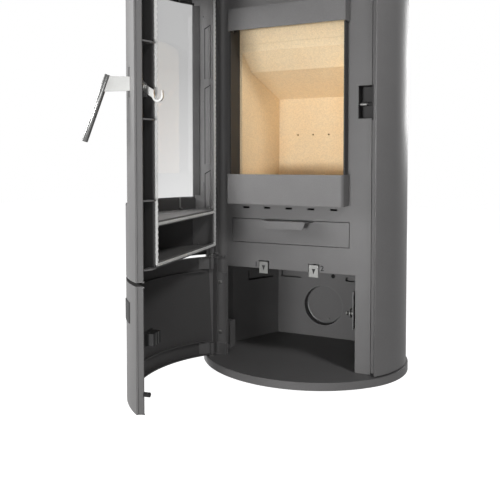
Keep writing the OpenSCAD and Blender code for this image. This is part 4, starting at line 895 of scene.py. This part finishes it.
# %% [markdown]
# ## Clips of the pane
# Small bent clips hold the pane, two along its lower edge and two at the top.
# They lie on the inside of the steel strips, with a foot that is turned in.
# The strips are arcs, so each clip is made in the middle, as two slabs at a
# right angle, and then turned round the arc's middle to its place.

# %% Clips
GLASS_LOW_Z, GLASS_HIGH_Z = 457.0, 978.0
CLIP_W, CLIP_T, CLIP_FOOT, CLIP_LAP = 5.0, 1.5, 10.0, 3.0
CLIP_DOWN, CLIP_UP, LEDGE_Y, CLIP_X = 26.0, 20.0, -123.4, 139.0
clip_angle = math.asin(CLIP_X / (ARC_MIDDLE_Y - LEDGE_Y))
clips = []
for angle in (-clip_angle, clip_angle):
    turned = (Matrix.Translation((0, ARC_MIDDLE_Y, 0)) @ Matrix.Rotation(angle, 4, "Z")
              @ Matrix.Translation((0, -ARC_MIDDLE_Y, 0)))
    for z0, z1, foot_z in ((GLASS_LOW_Z - CLIP_DOWN, GLASS_LOW_Z + CLIP_LAP,
                            GLASS_LOW_Z - CLIP_DOWN),
                           (GLASS_HIGH_Z - CLIP_LAP, GLASS_HIGH_Z + CLIP_UP,
                            GLASS_HIGH_Z + CLIP_UP - CLIP_T)):
        for low_z, high_z, reach in ((z0, z1, CLIP_T), (foot_z, foot_z + CLIP_T, CLIP_FOOT)):
            points, faces = slab([(-CLIP_W / 2, low_z), (CLIP_W / 2, low_z),
                                  (CLIP_W / 2, high_z), (-CLIP_W / 2, high_z)],
                                 LEDGE_Y, LEDGE_Y + reach)
            clips.append(([turned @ p for p in points], faces))
piece("glass_clips", clips, zinc, "fire_door")

# %% [markdown]
# ## Marks on the air levers
# Each lever's tab carries a printed arrow head that points down at it, and
# the plate beside it a plain number. The marks are laid on as a film a tenth
# of a millimetre thick. The numbers are text objects in Blender's own plain
# typeface, drawn a little bolder.

# %% Arrow heads
MARK_T, ARROW_HW, ARROW_TOP_Z, ARROW_TIP_Z = 0.12, 4.8, 276.9, 262.7
for body, x in (("secondary_air", -71.0), ("primary_air", 71.0)):
    corners = [(x - ARROW_HW, ARROW_TOP_Z), (x, ARROW_TIP_Z), (x + ARROW_HW, ARROW_TOP_Z)]
    piece(f"{body}_arrow", [slab(corners, SHEET_FACE_Y - MARK_T, SHEET_FACE_Y)],
          print_and_shade_ink, body, smooth=False)

# %% Numbers
STROKE_MM, CAP_HEIGHT = 0.35, 0.70
for figure, x, z, height in (("1", -99.0, 271.7, 13.0), ("2", 88.7, 273.0, 13.3)):
    outline = bpy.data.curves.new(f"number_{figure}", "FONT")
    outline.body = figure
    outline.size = height / CAP_HEIGHT * MM
    outline.extrude = MARK_T / 2 * MM
    outline.offset = STROKE_MM * MM
    outline.resolution_u = 6
    outline.materials.append(print_and_shade_ink)
    number = bpy.data.objects.new(f"number_{figure}", outline)
    number.location = (x * MM, -MARK_T / 2 * MM, z * MM)
    number.rotation_euler = (math.radians(90), 0, 0)
    bpy.context.scene.collection.objects.link(number)
    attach(number, "stove_body")
    print(f"number_{figure}: {height} mm high at x {x}, z {z}")

# %% [markdown]
# ## Handle grip
# The grip is a length of brushed stainless tube, closed at each end by a
# pressed plug that sits a little below the rim. The tube's own edge is turned
# to a fine round. It replaces the plain bar of the solids, in the same place.

# %% Grip
GRIP_R, LEVER_X = 6.5, 205.005
grip_low, grip_high = Vector((LEVER_X, -161.0, 599.0)), Vector((LEVER_X, -103.5, 739.5))
grip_along = grip_high - grip_low
end = [(0, 1.2), (4.4, 0.9), (5.3, 1.0), (5.5, 0.4), (5.9, 0.0), (6.3, 0.2), (GRIP_R, 0.7)]
profile = end + [(r, grip_along.length - h) for r, h in reversed(end)]
piece("grip_tube", [spun(profile, grip_low, grip_along, sides=48)], stainless, "door_handle",
      replaces=["handle_grip"])

# %% [markdown]
# ## Hinge washers and magnet plates
# A pale washer between each lug and knuckle keeps the paint from rubbing
# through. The magnet shows the edges of its two steel pole plates, which
# stand a hair proud of its black case.

# %% Washers and pole plates
PIN_GAP_R, RING_OUT, RING_T, RING_EDGE = 4.05, 6.9, 1.3, 0.3
UNDER_TOP, OVER_TOP, OVER_LOW = -6.45, 0.1, 4.6     # heights beside the lugs' edges
piece("hinge_washers", [washer((HINGE_X, HINGE_Y, z), (0, 0, 1), PIN_GAP_R, RING_OUT, RING_T,
                               RING_EDGE)
                        for z in (lug_high.z + UNDER_TOP, lug_high.z + OVER_TOP,
                                  lug_low.z + OVER_LOW)],
      zinc, "stove_body")

MAGNET_X, MAGNET_Z, POLE_HH, POLE_T = 168.005, 177.0, 13, 2.4
POLE_STEPS, POLE_BACK_Y, POLE_FACE_Y = (11, 22), -1.0, -0.6
poles = []
for x in [MAGNET_X + step for step in POLE_STEPS]:
    poles.append(slab([(x, MAGNET_Z - POLE_HH), (x + POLE_T, MAGNET_Z - POLE_HH),
                       (x + POLE_T, MAGNET_Z + POLE_HH), (x, MAGNET_Z + POLE_HH)],
                      POLE_BACK_Y, POLE_FACE_Y))
piece("magnet_plates", poles, zinc, "log_door")

# %% [markdown]
# ## The flue's weld
# The flue collar is welded to the top. The bead is a chain of overlapping
# little pools, so it is swept round the collar with a thickness that swells
# and shrinks every 3 mm. It is painted with the rest.

# %% Weld bead
FLUE_Y, FLUE_BEAD_R, RIPPLE_MM, PER_RIPPLE = 120.0, 76.6, 3.0, 6
BEAD_R, BEAD_SWELL, BEAD_UP = 1.5, 0.25, 0.5
bead_z = edges("top_plate")[1].z + BEAD_UP
steps = int(2 * math.pi * FLUE_BEAD_R / RIPPLE_MM) * PER_RIPPLE
bead_path, bead_r = [], []
for i in range(steps):
    a = 2 * math.pi * i / steps
    bead_path.append((FLUE_BEAD_R * math.cos(a), FLUE_Y + FLUE_BEAD_R * math.sin(a), bead_z))
    bead_r.append(BEAD_R + BEAD_SWELL * math.cos(2 * math.pi * i / PER_RIPPLE))
piece("flue_weld", [swept(bead_path, bead_r, across=(0, 0, 1), closed=True)], shell_paint,
      "stove_body")

# %% [markdown]
# ## Rolled rims and a plug
# The fresh air inlet's cover has a rolled rim, and the ash pan's edge is
# rolled over a wire: each is a round bar, swept along the edge. A black plug
# closes a spare hole in the compartment's back wall, and it is a low dome.

# %% Inlet rim and wall plug
RIM_WIRE_R, RIM_IN, RIM_STEPS = 1.6, 1.7, 72
cover_low, cover_high = edges("air_inlet_cover")
cover_mid = (cover_low + cover_high) / 2
rim_r = (cover_high.x - cover_low.x) / 2 - RIM_IN
rim_path = [(cover_mid.x + rim_r * math.cos(a), cover_low.y, cover_mid.z + rim_r * math.sin(a))
            for a in [2 * math.pi * i / RIM_STEPS for i in range(RIM_STEPS)]]
piece("inlet_cover_rim", [swept(rim_path, RIM_WIRE_R, sides=8, closed=True)],
      galvanised, "stove_body")

LINER_T, PLUG_X, PLUG_Z, PLUG_R, PLUG_H = 3.0, 32, 208.5, 6.2, 4.0
wall_y = edges("compartment_liner")[1].y - LINER_T
piece("wall_plug", [rivet((PLUG_X, wall_y, PLUG_Z), (0, -1, 0), PLUG_R, PLUG_H)],
      black_rubber, "stove_body")

# %% Ash pan rim
pan_low, pan_high = edges("ash_pan")
WIRE_R, WIRE_DOWN, PAN_CORNER, PAN_FRONT_Y = 1.8, 0.4, 3.0, 6.0
rim = []
for side_x, far_y, begin in ((pan_high.x, PAN_FRONT_Y, -90), (pan_high.x, pan_high.y, 0),
                             (pan_low.x, pan_high.y, 90), (pan_low.x, PAN_FRONT_Y, 180)):
    middle = (side_x - math.copysign(PAN_CORNER, side_x),
              far_y + (PAN_CORNER if far_y == PAN_FRONT_Y else -PAN_CORNER))
    rim += [(x, y, pan_high.z - WIRE_DOWN)
            for x, y in rounded(middle, PAN_CORNER, begin, steps=4)]
piece("pan_rim", [swept(rim, WIRE_R, across=(0, 0, 1), sides=8, closed=True)], galvanised,
      "ash_drawer")
